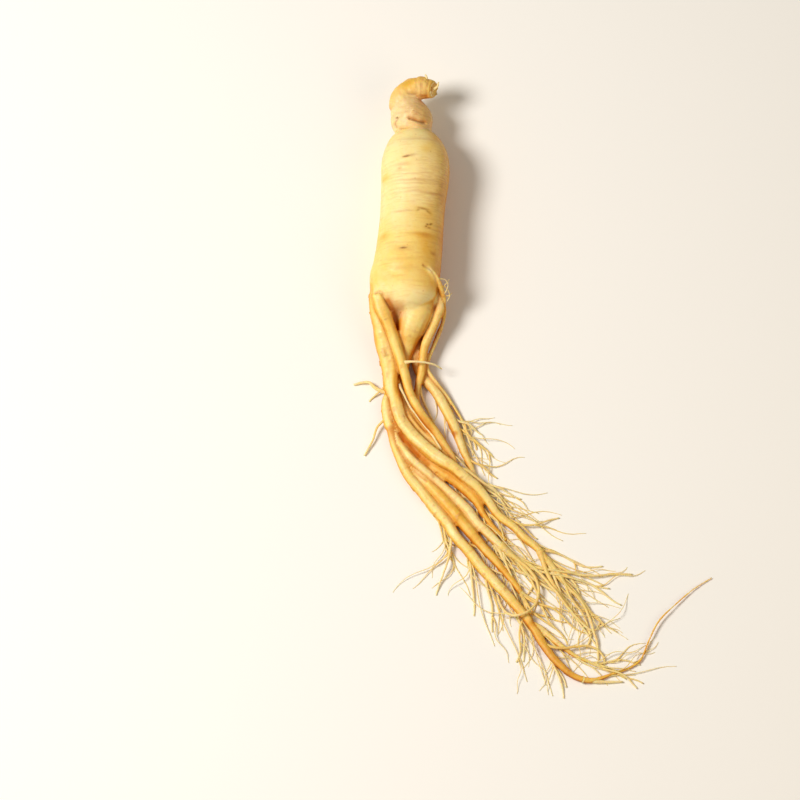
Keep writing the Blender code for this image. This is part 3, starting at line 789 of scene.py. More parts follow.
def points_of(obj):
    """The mesh's vertices in the tables' millimetres."""
    flat = np.empty(len(obj.data.vertices) * 3)
    obj.data.vertices.foreach_get("co", flat)
    return flat.reshape(-1, 3) / MM + np.array(MIDDLE)


def normals_of(obj):
    flat = np.empty(len(obj.data.vertices) * 3)
    obj.data.vertices.foreach_get("normal", flat)
    return flat.reshape(-1, 3)


def move_points(obj, points):
    obj.data.vertices.foreach_set("co", ((points - np.array(MIDDLE)) * MM).ravel())
    obj.data.update()


def keep_values(obj, **values):
    """Stores one number a vertex under each name, for the materials to read."""
    for name, numbers in values.items():
        layer = obj.data.attributes.new(name, "FLOAT", "POINT")
        layer.data.foreach_set("value", np.asarray(numbers, np.float32))


def rumple(points, size, seed=0.0):
    """Smooth noise from -1 to 1 at the points, with bumps about size across."""
    sizes = np.broadcast_to(np.asarray(size, float), (3,))
    return np.array([noise.noise(p) for p in (points / sizes + seed).tolist()])


def ease(low, high, values):
    """0 below low, 1 above high, and smooth between them."""
    t = np.clip((values - low) / (high - low), 0.0, 1.0)
    return t * t * (3 - 2 * t)


def mound(distance, width):
    return np.exp(-((distance / width) ** 2))


def line_distance(flat, line):
    """How far each point lies from a line of points, in plan."""
    best = np.full(len(flat), 1e9)
    side = np.zeros(len(flat))
    for a, b in zip(line, line[1:]):
        a, b = np.array(a), np.array(b)
        run = b - a
        t = np.clip(((flat - a) @ run) / (run @ run), 0, 1)
        away = flat - (a + t[:, None] * run)
        distance = np.hypot(away[:, 0], away[:, 1])
        closer = distance < best
        best = np.where(closer, distance, best)
        side = np.where(closer, np.sign(run[0] * away[:, 1] - run[1] * away[:, 0]), side)
    return best, side


class Walk:
    """Every route's points in order, with the distance walked from each route's base."""

    def __init__(self, routes):
        self.names = list(routes)
        spots, self.radius, self.along, self.which, ahead = [], [], [], [], []
        for number, route in enumerate(routes.values()):
            walked = 0.0
            for i, point in enumerate(route):
                if i:
                    walked += (point.xyz - route[i - 1].xyz).length
                before, after = route[max(i - 1, 0)], route[min(i + 1, len(route) - 1)]
                ahead.append((after.xyz - before.xyz).normalized())
                spots.append(point.xyz)
                self.radius.append(point.w)
                self.along.append(walked)
                self.which.append(number)
        self.spots, self.ahead = np.array(spots), np.array(ahead)
        self.radius, self.along, self.which = map(np.array, (self.radius, self.along, self.which))
        self.starts = np.searchsorted(self.which, range(len(self.names)))

    def nearest(self, points, chunk=2000):
        """The walk's point whose tube each point lies on, and the point's gap to every route's tube."""
        found, gaps = [], []
        square = (self.spots**2).sum(1)
        for start in range(0, len(points), chunk):
            some = points[start : start + chunk]
            away = (some**2).sum(1)[:, None] + square - 2 * some @ self.spots.T
            gap = np.sqrt(np.maximum(away, 0)) - self.radius
            found.append(np.argmin(gap, axis=1))
            gaps.append(np.minimum.reduceat(gap, self.starts, axis=1))
        return np.concatenate(found), np.concatenate(gaps)


def share_of(gap, other, width):
    """How much of a point belongs to the first of two tubes, from its gap to each."""
    return 1 / (1 + np.exp(np.clip((gap - other) / width, -30, 30)))


def hidden_share(obj, rays, reach):
    """How much of the open air over each vertex other parts of the piece fill, from 0 to 1, with rays that reach below
    the floor counted in part; it drives the painted shade in hollows, between parts and near the floor.
    """
    tree = bvhtree.BVHTree.FromObject(obj, bpy.context.evaluated_depsgraph_get())
    spots, normals = points_of(obj), normals_of(obj)
    spots = (spots - np.array(MIDDLE)) * MM
    draw = random.Random("rays")
    hits = np.zeros(len(spots))
    tilts = []
    for i in range(rays):
        turn = math.tau * (i * 0.618034 + draw.random() * 0.1)
        flat = math.sqrt((i + 0.5) / rays)
        tilts.append((flat * math.cos(turn), flat * math.sin(turn), math.sqrt(1 - flat * flat)))
    for k, (spot, normal) in enumerate(zip(spots.tolist(), normals.tolist())):
        up = Vector(normal)
        across = up.orthogonal().normalized()
        over = up.cross(across)
        start = Vector(spot) + up * 0.25 * MM
        for a, b, c in tilts:
            ahead = across * a + over * b + up * c
            if tree.ray_cast(start, ahead, reach * MM)[0]:
                hits[k] += 1
            elif start.z + ahead.z * reach * MM < 0:
                hits[k] += 0.4
    return hits / rays


def body_route():
    knots = [(bend, BODY_TOP_Y - share * BODY_LENGTH, AXIS_HEIGHT, width * BODY_RADIUS) for share, width, bend in BODY_SHAPE]
    return [Vector(knot) for knot in knots]


def along(route, share):
    """The point of a route at a share of its points, and its heading in the plan, in degrees."""
    spot = min(max(share, 0.0), 1.0) * (len(route) - 1)
    index = min(int(spot), len(route) - 2)
    ahead = route[index + 1] - route[index]
    return route[index] + ahead * (spot - index), math.degrees(math.atan2(ahead.y, ahead.x))


def grow_rootlet(draw, start, heading, length, radius, tip=TIP_RADIUS, sways=SWAY, bends=BEND):
    """A rootlet that winds away from start in the plan heading and sinks to the surface."""
    waves = draw.uniform(*WAVES)
    phase = draw.uniform(0, math.tau)
    sway = draw.uniform(*sways)
    bend = draw.uniform(*bends)
    lift = draw.uniform(*LIFT)
    x, y, z = start.x, start.y, start.z
    route = []
    for i in range(FINE_STEPS + 1):
        share = i / FINE_STEPS
        thick = radius + (tip - radius) * share
        sunk = z + (thick - z) * min(1.0, SINK_RATE * share)
        height = sunk + lift * math.sin(math.pi * share) ** 2
        route.append(Vector((x, y, max(height, thick), thick)))
        swing = math.sin(waves * math.tau * share + phase) - math.sin(phase)
        angle = math.radians(heading + bend * share + sway * swing)
        x += math.cos(angle) * length / FINE_STEPS
        y += math.sin(angle) * length / FINE_STEPS
    return route


def sprays(legs):
    """The rootlets of each frayed end, spread evenly about the leg's own heading."""
    found = {}
    for leg, share, count, spread, length, radius in SPRAYS:
        draw = random.Random(f"spray {leg} {share}")
        for i in range(count):
            start, heading = along(legs[leg], share - SPRAY_DEPTH * (i % 3 + 1))
            aside = spread * ((i + 0.5) / count - 0.5)
            reach = length * draw.uniform(*SPRAY_REACH)
            found[f"spray_{leg}_{share}_{i}"] = grow_rootlet(draw, start, heading + aside, reach, radius)
    return found


def fringes(legs):
    """The rootlets that leave a leg on one side."""
    found = {}
    for leg, low, high, count, side, length in FRINGES:
        draw = random.Random(f"fringe {leg} {side} {low}")
        for i in range(count):
            share = low + (high - low) * (i + draw.uniform(*FRINGE_PLACE)) / count
            start, heading = along(legs[leg], share)
            angle = heading + side * FRINGE_ANGLE * draw.uniform(*FRINGE_SPREAD)
            reach = length * draw.uniform(*FRINGE_REACH)
            found[f"fringe_{leg}_{side}_{low}_{i}"] = grow_rootlet(draw, start, angle, reach, FRINGE_RADIUS)
    return found


def crooked(route, seed, jog=0.10, foot=0.7):
    """The route with the small kinks and swellings of a grown rootlet."""
    bent = []
    for i, point in enumerate(route):
        share = i / (len(route) - 1)
        hold = min(1.0, 4 * share)
        kink = noise.noise_vector(Vector((i * 0.55, seed * 3.1, 0.0))) * jog * hold * (1 + point.w)
        swell = 1 + 0.16 * noise.noise(Vector((i * 0.8, seed * 1.7, 9.0)))
        flare = 1 + foot * math.exp(-((share * 14) ** 2))
        thick = point.w * swell * flare
        bent.append(Vector((point.x + kink.x, point.y + kink.y, max(point.z + kink.z, thick), thick)))
    return bent


def body_skin(legs):
    """The body and its legs under one skin, with swellings and root bumps; the rings and scars are pressed in by
    shape_body_skin.
    """
    trunk = tubes("root_skin", [smooth_route(body_route(), 2.0)], 40)
    lumps = [ball(name, *SWELLINGS[name], 40) for name in ("middle_hip", "left_hip", "crotch")]
    blends = tubes("leg_roots", [legs["long_leg"][:18]], 24)
    join(trunk, [*lumps, blends])
    reskin(trunk, BLEND_VOXEL, BLEND_ROUNDS)
    join(trunk, [tubes("legs", legs.values(), 16)])
    reskin(trunk, SKIN_VOXEL, SKIN_ROUNDS)
    hips = trunk.vertex_groups.new(name="hips")
    high = points_of(trunk)[:, 1] > 29.0
    hips.add(np.nonzero(high)[0].tolist(), 1.0, "REPLACE")
    flow = trunk.modifiers.new("flow", "SMOOTH")
    flow.iterations = HIP_ROUNDS
    flow.vertex_group = hips.name
    bpy.ops.object.modifier_apply(modifier=flow.name)
    closest = np.sort(Walk(legs).nearest(points_of(trunk))[1], axis=1)
    seams = trunk.vertex_groups.new(name="seams")
    seams.add(np.nonzero(closest[:, 1] - closest[:, 0] < 0.9)[0].tolist(), 1.0, "REPLACE")
    even = trunk.modifiers.new("even", "SMOOTH")
    even.iterations = SEAM_ROUNDS
    even.vertex_group = seams.name
    bpy.ops.object.modifier_apply(modifier=even.name)
    return trunk


def shape_body_skin(skin, legs):
    """Presses the grown detail into the skin, stores what its material reads, and returns the painted shade for the
    grooves between the legs.
    """
    trunk, walk = Walk({"body": smooth_route(body_route(), 1.0)}), Walk(legs)
    points, normals = points_of(skin), normals_of(skin)
    trunk_spot, trunk_gap = trunk.nearest(points)
    spot, gaps = walk.nearest(points)
    which, walked, thick = walk.which[spot], walk.along[spot], walk.radius[spot]
    on_body = share_of(trunk_gap[:, 0], gaps.min(axis=1), 0.5 * SEAM)
    rel = points - walk.spots[spot]
    lateral = np.cross(walk.ahead[spot], (0.0, 0.0, 1.0))
    across = (rel * lateral).sum(1)
    y = points[:, 1]
    flank = np.degrees(np.arctan2(points[:, 0] - trunk.spots[trunk_spot][:, 0], points[:, 2] - AXIS_HEIGHT))
    cloudy = 16.0 * rumple(points, (6.0, 12.0, 6.0), 17.0)
    body = on_body * ease(38.0, 44.0, y)

    # Where one leg lies against another, the detail fades out, the groove is deep, and painted shade, orange to deep
    # amber, is put into it
    closest = np.sort(gaps, axis=1)
    apart = closest[:, 1] - closest[:, 0]
    belongs = np.exp((closest[:, :1] - gaps) / SEAM)
    belongs /= belongs.sum(axis=1)[:, None]
    groove_and_shade = (1 - on_body) * mound(apart, 0.8) * ease(3.0, 16.0, walked) * ease(1.6, 0.4, closest[:, 1])

    push = 0.26 * body * rumple(points, (9.0, 14.0, 9.0), 3.0)
    blush = np.zeros(len(points))
    stain = np.zeros(len(points))
    waver = 0.5 * rumple(points, (7.0, 40.0, 7.0), 11.0) + 0.18 * rumple(points, (2.2, 12.0, 2.2), 5.0)
    for ring_y, side, reach, depth, width, brown in RINGS:
        mark = body * mound(y + waver - ring_y, width) * mound(flank - side, reach)
        push -= depth * mark
        push += 0.35 * depth * body * mound(y + waver - ring_y - 2.0 * width, 1.2 * width) * mound(flank - side, reach)
        blush = np.maximum(blush, brown * mark)
    draw = random.Random("rings")
    for i in range(70):
        if i < 34:
            ring_y, side, reach = draw.uniform(74, 99), draw.uniform(34, 84), draw.uniform(9, 20)
            depth = draw.uniform(0.05, 0.15)
        else:
            ring_y, side, reach = draw.uniform(46, 108), draw.uniform(-180, 180), draw.uniform(18, 44)
            depth = draw.uniform(0.03, 0.10)
        slant = draw.uniform(-0.012, 0.012) * (flank - side)
        away = (flank - side + 180) % 360 - 180
        mark = body * mound(y + waver + slant - ring_y, draw.uniform(0.26, 0.42)) * mound(away, reach)
        push -= depth * mark
        blush = np.maximum(blush, 2.6 * depth * mark)

    top = body * ease(0.1, 0.35, normals[:, 2])
    gold = np.zeros(len(points))
    for x0, y0, long, wide, turn, depth, brown, rosy, golden in SCARS:
        turn = math.radians(turn)
        dx, dy = points[:, 0] - x0, y - y0
        run, off = dx * math.cos(turn) + dy * math.sin(turn), dy * math.cos(turn) - dx * math.sin(turn)
        ragged = 1 + 0.5 * rumple(points, 0.8, x0)
        mark = top * np.exp(-(((run / long) ** 2 + (off / wide) ** 2) * ragged) ** 1.5)
        push -= depth * mark
        push += 0.35 * depth * top * mound(run, long) * mound(off + 2.2 * wide, wide)
        stain = np.maximum(stain, brown * mark)
        halo = top * np.exp(-((run / (1.4 * long)) ** 2 + (off / (1.8 * wide)) ** 2))
        blush = np.maximum(blush, rosy * halo)
        gold = np.maximum(gold, golden * halo)

    shift = 0.25 * np.stack([rumple(points, 2.5, 21.0), rumple(points, 2.5, 27.0)], axis=1)
    facing = ease(0.0, 0.25, normals[:, 2]) * ease(30.0, 32.0, y)
    for line, (wide, depth, swell, warm) in CREASES:
        away, side = line_distance(points[:, :2] + shift, line)
        push -= facing * depth * mound(away, wide)
        push += facing * swell * mound(away - 2.6 * wide, 1.4 * wide) * (side < 0)
        blush = np.maximum(blush, facing * warm * mound(away, 1.2 * wide))

    leg = (1 - on_body) * ease(0.0, 1.0, apart)
    over = np.cross(lateral, walk.ahead[spot])
    unit = np.stack([across, (rel * over).sum(1)], axis=1) / np.maximum(thick, 0.3)[:, None]
    own = 17.0 * which
    fine = rumple(np.stack([walked / 0.9 + own, *(1.1 * unit.T)], axis=1), 1.0)
    slow = rumple(np.stack([walked / 5.5 + own, *(0.9 * unit.T)], axis=1), 1.0, 4.0)
    ridges = rumple(np.stack([walked / 14.0 + own, *(2.4 * unit.T)], axis=1), 1.0, 8.0)
    knots = np.maximum(rumple(np.stack([walked / 2.2 + own, *(1.6 * unit.T)], axis=1), 1.0, 12.0) - 0.38, 0.0)
    strength = np.clip(thick / 3.0, 0.3, 1.15)
    push += leg * strength * (0.07 * fine + 0.20 * slow + 0.26 * ridges + 1.1 * knots)
    thick_leg = leg * ease(3.4, 5.0, thick)
    push -= 0.10 * thick_leg * mound(np.sin(walked / 0.62 + 2 * slow) - 1, 0.5) * ease(-0.1, 0.3, fine)
    blush = np.maximum(blush, leg * 0.30 * ease(0.12, 0.5, fine) * ease(-0.2, 0.5, slow))
    blush = np.maximum(blush, leg * np.minimum(3.0 * knots, 0.5))
    push -= 0.45 * groove_and_shade
    groove_and_shade *= 0.75
    # Listed grooves: pressed in, with painted shade along them; the crotch lines add painted shade only
    for line, (wide, depth, deep) in GROOVES_AND_SHADE:
        away, _ = line_distance(points[:, :2] + shift, line)
        mark = mound(away, wide)
        push -= depth * mark * ease(0.2, 0.5, normals[:, 2])
        groove_and_shade = np.maximum(groove_and_shade, deep * mark * ease(-0.2, 0.2, normals[:, 2]))

    points = points + normals * push[:, None]
    high = np.maximum(points[:, 2] - SOFT_FROM, 0.0)
    points[:, 2] = np.clip(points[:, 2], 0.0, SOFT_FROM) + SOFT_REACH * (1 - np.exp(-high / SOFT_REACH))
    move_points(skin, points)

    leg = 1 - on_body
    tint = belongs @ [WARMTH[name] for name in walk.names]
    young = 1 - ease(4.0, YOUNG, walked)
    hip = ease(80.0, 60.0, y) * ease(34.0, 45.0, y)
    warmth = gold + on_body * (WARMTH["body"] + 0.13 * hip) + leg * (tint * (1 - young) + 0.19 * young)
    # Painted shade: the body grows warmer towards both flanks, most towards the right one, which faces away from the
    # key light
    warmth += 0.55 * body * ease(0.0, 82.0, flank + cloudy) + 0.12 * body * ease(30.0, 90.0, -flank)
    warmth += 0.25 * body * ease(62.0, 92.0, flank + 0.5 * cloudy)
    warmth += 0.05 * body * ease(100, 110, y) + 0.08 * body * mound(y - 58.0, 9.0) * ease(60.0, 10.0, flank)
    # Painted shade: the legs' sides grow amber the further they turn from facing up, with some random tone
    side = ease(0.82, 0.25, normals[:, 2] + 0.10 * rumple(points, (2.0, 5.0, 2.0), 41.0))
    warmth += leg * (0.48 * side - 0.05 + 0.12 * rumple(points, (5.0, 9.0, 5.0), 47.0))
    outer = belongs[:, [walk.names.index(name) for name in ("outer_leg", "outer_fork")]].sum(axis=1)
    warmth += leg * (0.16 + 0.14 * outer) * ease(100.0, 150.0, walked)
    # Warmer, rosier patches: skin marks, and painted shade where a leg lies beside or under another
    for leg_name, x0, y0, long, wide, turn, warm, rosy in MARKS_AND_SHADE_PATCHES:
        turn = math.radians(turn)
        dx, dy = points[:, 0] - x0, y - y0
        run, off = dx * math.cos(turn) + dy * math.sin(turn), dy * math.cos(turn) - dx * math.sin(turn)
        mark = leg * belongs[:, walk.names.index(leg_name)] * np.exp(-((run / long) ** 2 + (off / wide) ** 2) ** 1.5)
        warmth += warm * mark
        blush = np.maximum(blush, rosy * mark)
    russet = body * ease(-4.0, 62.0, flank + 1.4 * cloudy) * (0.15 + 0.85 * mound(y - 88.0, 15.0))
    russet *= 1 - 0.75 * ease(60.0, 86.0, flank)
    line = on_body * -y + (1 - on_body) * (walked - walk.spots[walk.starts, 1][which])
    keep_values(skin, warmth=warmth, blush=blush, stain=stain, russet=russet, along=line)
    return groove_and_shade


def cut_stem():
    """The bent old stem, cut across where it broke off."""
    stem = tubes("old_stem", [smooth_route(NECK["crown"], 0.8)], 32)
    bpy.ops.object.mode_set(mode="EDIT")
    bpy.ops.mesh.select_all(action="SELECT")
    bpy.ops.mesh.bisect(plane_co=place(BREAK), plane_no=BREAK_FACING, use_fill=True, clear_outer=True)
    bpy.ops.object.mode_set(mode="OBJECT")
    return stem


def neck_skin():
    """The knobbly neck, which curls over into the broken end of the old stem."""
    column = tubes("neck_skin", [smooth_route(NECK["neck"], 1.0)], 32)
    join(column, [cut_stem(), ball("shoulder_bud", *SWELLINGS["shoulder_bud"], 20)])
    reskin(column, NECK_VOXEL, NECK_ROUNDS)
    return column


def shape_neck_skin(neck):
    """Presses folds and knobs into the neck and a shallow dish into the old stem's end, and returns painted shade for
    the stem's underside.
    """
    column, stem = (Walk({name: smooth_route(NECK[name], 0.8)}) for name in ("neck", "crown"))
    points, normals = points_of(neck), normals_of(neck)
    _, column_gap = column.nearest(points)
    spot, stem_gap = stem.nearest(points)
    on_crown, walked = share_of(stem_gap[:, 0], column_gap[:, 0], 0.6), stem.along[spot]
    up = ease(0.0, 0.3, normals[:, 2])
    flat = points[:, :2] + 0.12 * np.stack([rumple(points, 1.1, 2.0), rumple(points, 1.1, 7.0)], axis=1)

    push = 0.34 * rumple(points, 4.2, 6.0) + 0.14 * rumple(points, 1.7, 1.0) + 0.04 * rumple(points, 0.7, 3.0)
    blush, stain = np.zeros(len(points)), np.zeros(len(points))
    for line, wide, depth, lip, brown in NECK_FOLDS:
        away, side = line_distance(flat, line)
        below = np.where(side < 0, away, 9.0)
        above = np.where(side >= 0, away, 0.0)
        mark = mound(below, wide) * (side < 0) + mound(above, 2.4 * wide) * (side >= 0)
        push -= up * depth * mark
        push += up * lip * mound(away - 2.4 * wide, 1.3 * wide) * (side < 0)
        stain = np.maximum(stain, up * 0.8 * brown * mound(away, 0.8 * wide))
        # Painted shade on the slope above the fold, which turns away from the light
        blush = np.maximum(blush, up * brown * mound(above, 3.5 * wide) * (side >= 0) * mound(away, 4 * wide))
    for x0, y0, wide, height in NECK_BUMPS:
        push += up * height * mound(np.hypot(flat[:, 0] - x0, flat[:, 1] - y0), wide)
    pit = up * mound(np.hypot(flat[:, 0] + 7.5, flat[:, 1] - 116.4), 0.45)
    push -= 0.5 * pit
    stain = np.maximum(stain, pit)
    x0, y0, wide, height = WARTS
    warts = up * mound(np.hypot(flat[:, 0] - x0, flat[:, 1] - y0), wide) * ease(0.05, 0.5, rumple(points, 0.62, 31.0))
    push += height * warts
    fluted = on_crown * rumple(np.stack([walked / 7.0, points[:, 1] / 1.5, points[:, 2] / 1.5], axis=1), 1.0, 14.0)
    push += 0.22 * fluted * ease(6.0, 12.0, walked)
    rings = on_crown * mound(np.sin(4.2 * walked + 1.5 * rumple(points, 1.6, 8.0)) - 1, 0.5)
    push -= 0.09 * rings * ease(12.0, 16.0, walked)
    collar = (1 - on_crown) * mound(np.sin(points[:, 1] * 3.1 + 2.0 * rumple(points, 5.0)) - 1, 0.4)
    push -= 0.05 * collar * ease(120.0, 110.0, points[:, 1])

    offset = points - np.array(BREAK)
    depth = -(offset @ np.array(BREAK_FACING))
    out = np.linalg.norm(offset + depth[:, None] * np.array(BREAK_FACING), axis=1)
    face = on_crown * ease(1.1, 0.35, depth) * ease(BREAK_RADIUS + 1.0, BREAK_RADIUS + 0.4, out)
    torn = rumple(points, 1.3, 5.0)
    hollow = mound(np.linalg.norm(offset[:, :2] - HOLE, axis=1), 0.75) * ease(1.6, 0.8, depth)
    sink = 0.30 * mound(out - BREAK_RADIUS + 0.3, 0.5) - 0.40 * ease(3.0, 1.4, out) + 0.10 * torn - 1.3 * hollow
    moved = points + normals * (push * (1 - face))[:, None] + np.array(BREAK_FACING) * (face * sink)[:, None]
    move_points(neck, moved)
    stain = np.maximum(stain * (1 - face), face * np.maximum(0.85 * hollow, 0.10 * ease(0.1, -0.4, torn)))
    blush = np.maximum(blush, 0.5 * rings * ease(12.0, 16.0, walked)) * (1 - face)

    low_neck = ease(124.5, 121.0, points[:, 1]) * ease(111.5, 114.5, points[:, 1])
    golden = share_of(stem_gap[:, 0], column_gap[:, 0], 0.9) * ease(119.0, 128.0, points[:, 1] + rumple(points, 3.0, 51.0))
    warmth = 0.08 + 0.36 * golden - 0.16 * mound(np.hypot(flat[:, 0] - 2.0, flat[:, 1] - 129.0), 3.0)
    warmth += 0.24 * mound(np.hypot(flat[:, 0] + 3.2, flat[:, 1] - 131.4), 3.0)
    warmth += 0.24 * ease(-3.0, 6.0, points[:, 0]) * low_neck - 0.25 * warts
    warmth = warmth * (1 - face) + 0.46 * face
    russet = ease(-8.0, 1.0, points[:, 0]) * (0.20 + 0.42 * low_neck) * (1 - warts)
    russet = np.maximum(russet * (1 - on_crown), 0.22 * face * ease(BREAK_RADIUS, BREAK_RADIUS - 0.8, out))
    line = on_crown * (walked + 116.0) + (1 - on_crown) * points[:, 1]
    keep_values(neck, warmth=warmth, blush=blush, stain=stain, russet=russet, along=line)
    # Painted shade on the underside of the old stem, where it curls over the neck
    return 0.75 * on_crown * (1 - face) * ease(0.72, 0.30, normals[:, 2]) * ease(-0.1, -0.5, normals[:, 1])


def rootlet_routes(legs):
    """Every rootlet as the solid has it, at full smoothness."""
    routes = {name: smooth_route(points, 1.2) for name, points in ROOTLETS.items() if "crown" not in name}
    routes.update(sprays(legs))
    routes.update(fringes(legs))
    return routes


def thread_routes(legs):
    """Long thin rootlets that run beside the lower legs."""
    draw = random.Random("threads")
    routes = []
    for leg, low, high, count, length in THREADS:
        for i in range(count):
            start, heading = along(legs[leg], low + (high - low) * (i + draw.random()) / count)
            angle = heading + draw.uniform(-THREAD_ASIDE, THREAD_ASIDE)
            radius = min(draw.uniform(*THREAD_RADIUS), 0.7 * start.w)
            reach = length * draw.uniform(0.6, 1.2)
            routes.append(grow_rootlet(draw, start, angle, reach, radius, 0.16, THREAD_SWAY, THREAD_BEND))
    return routes


def hair_routes(legs, rootlets):
    """Fine hairs that branch from the rootlets and the lower legs."""
    draw = random.Random("hairs")
    parents = [name for name in rootlets if "whisker" not in name]
    low_legs = ("outer_leg", "second_leg", "long_leg", "right_leg", "inner_leg", "outer_fork")
    routes = []
    for i in range(HAIR_COUNT):
        if i % 4:
            route, share = rootlets[draw.choice(parents)], draw.uniform(0.15, 0.95)
        else:
            route, share = legs[draw.choice(low_legs)], draw.uniform(0.45, 0.9)
        start, heading = along(route, share)
        angle = heading + draw.choice((-1, 1)) * draw.uniform(8, 40)
        radius = min(0.30, 0.75 * start.w) * draw.uniform(0.7, 1.0)
        routes.append(grow_rootlet(draw, start, angle, draw.uniform(9, 30), radius, 0.11, (8.0, 24.0)))
    return routes


def inside_box(route, low, high):
    return all(low.x < place(p).x < high.x and low.y < place(p).y < high.y for p in route)


def colour_tubes(obj, routes, base, tip, seed, pale=()):
    """Stores on thin tubes how far each vertex is from its base, and its warmth."""
    walk = Walk(dict(enumerate(routes)))
    spot, _ = walk.nearest(points_of(obj), 1000)
    which, walked = walk.which[spot], walk.along[spot]
    ends = np.array([walk.along[walk.which == n].max() for n in range(len(routes))])[which]
    draw = random.Random(seed)
    own = np.array([draw.uniform(-0.12, 0.12) - 0.35 * (n in pale) for n in range(len(routes))])[which]
    share = walked / np.maximum(ends, 1e-6)
    warmth = base + (tip - base) * share + own
    zero = np.zeros(len(share))
    keep_values(obj, warmth=warmth, blush=zero, stain=zero, fold=zero, russet=zero, along=walked + 37.0 * which)


def break_ring(turn, out, ahead):
    """A point beside the break: its angle about it, distance from its middle, and way ahead."""
    facing = Vector(BREAK_FACING)
    side = Vector((0.0, 0.0, 1.0)).cross(facing).normalized()
    over = facing.cross(side)
    return Vector(BREAK) + out * (math.cos(turn) * side + math.sin(turn) * over) + ahead * facing


def stem_husk():
    """The thin dry skin that stands ragged round the break."""
    deselect()
    rows, columns = 7, 110
    bpy.ops.mesh.primitive_grid_add(x_subdivisions=columns, y_subdivisions=rows, size=1.0)
    husk = bpy.context.active_object
    husk.name = "stem_husk"
    flat = np.empty(len(husk.data.vertices) * 3)
    husk.data.vertices.foreach_get("co", flat)
    spots = []
    for x, y, _ in flat.reshape(-1, 3).tolist():
        share = y + 0.5
        turn = math.tau * (x + 0.5)
        ring = Vector((3.0 * math.cos(turn), 3.0 * math.sin(turn), 0.0))
        tear = noise.noise(0.8 * ring) + 0.35 * noise.noise(1.7 * ring)
        reach = -1.3 + share * (1.5 + 1.1 * max(tear, -0.9))
        wave = 0.22 * noise.noise(1.2 * ring + Vector((0, 0, 3 + 1.5 * share)))
        curl = -0.8 * share * share * (0.7 + noise.noise(0.8 * ring + Vector((5.0, 0, 0))))
        spots.append(break_ring(turn, BREAK_RADIUS + 0.12 + wave + curl, reach))
    move_points(husk, np.array(spots))
    weld(husk)
    paper = husk.modifiers.new("paper", "SOLIDIFY")
    paper.thickness = 0.16 * MM
    paper.offset = 0.0
    bpy.ops.object.modifier_apply(modifier=paper.name)
    points = points_of(husk)
    share = (points - np.array(BREAK)) @ np.array(BREAK_FACING)
    zero = np.zeros(len(points))
    keep_values(husk, warmth=0.14 - 0.14 * share, blush=zero, stain=zero, fold=zero, russet=zero, along=share)
    return husk


def crown_fibres():
    """Torn fibres round the break, and the two whiskers beside it."""
    draw = random.Random("fibres")
    routes = []
    for name in ("crown_whisker", "crown_husk"):
        routes.append(crooked(smooth_route(ROOTLETS[name], 0.5), len(name), 0.12, 0.0))
    for i in range(6):
        turn = math.tau * (i + draw.uniform(-0.5, 0.5)) / 6
        reach, lean = draw.uniform(0.5, 1.2), draw.uniform(-1.4, 0.2)
        swing, thick = draw.uniform(-0.6, 0.6), draw.uniform(0.12, 0.22)
        route = []
        for k in range(7):
            share = k / 6
            spot = break_ring(turn + swing * share * share, BREAK_RADIUS - 0.2 + lean * share * share, reach * share - 0.5)
            route.append(Vector((*spot, thick * (1 - 0.7 * share))))
        routes.append(route)
    fibres = tubes("stem_fibres", routes, 6)
    colour_tubes(fibres, routes, 0.16, 0.04, "fibre colours")
    return fibres


def linear(colour):
    """An sRGB hex colour as linear RGBA."""
    values = [int(colour[i : i + 2], 16) / 255 for i in (1, 3, 5)]
    return (*(v / 12.92 if v <= 0.04045 else ((v + 0.055) / 1.055) ** 2.4 for v in values), 1.0)


def add(tree, kind, inputs=None, **settings):
    """Adds a shader node, sets it up and links or fills its inputs by name or number."""
    node = tree.nodes.new(kind)
    for name, value in settings.items():
        setattr(node, name, value)
    for socket, value in (inputs or {}).items():
        if isinstance(value, bpy.types.NodeSocket):
            tree.links.new(value, node.inputs[socket])
        else:
            node.inputs[socket].default_value = value
    return node


# The colour sockets of a Mix node: its first colour, its second, and its result
MIX_A, MIX_B, MIX_OUT = 6, 7, 2


def mixed(tree, amount, first, second, how="MIX"):
    node = add(
        tree, "ShaderNodeMix", {0: amount, MIX_A: first, MIX_B: second}, data_type="RGBA", blend_type=how
    )
    return node.outputs[MIX_OUT]


def sums(tree, operation, first, second, third=0.0):
    return add(tree, "ShaderNodeMath", {0: first, 1: second, 2: third}, operation=operation).outputs[0]


def stored(tree, name):
    return add(tree, "ShaderNodeAttribute", attribute_name=name).outputs["Fac"]


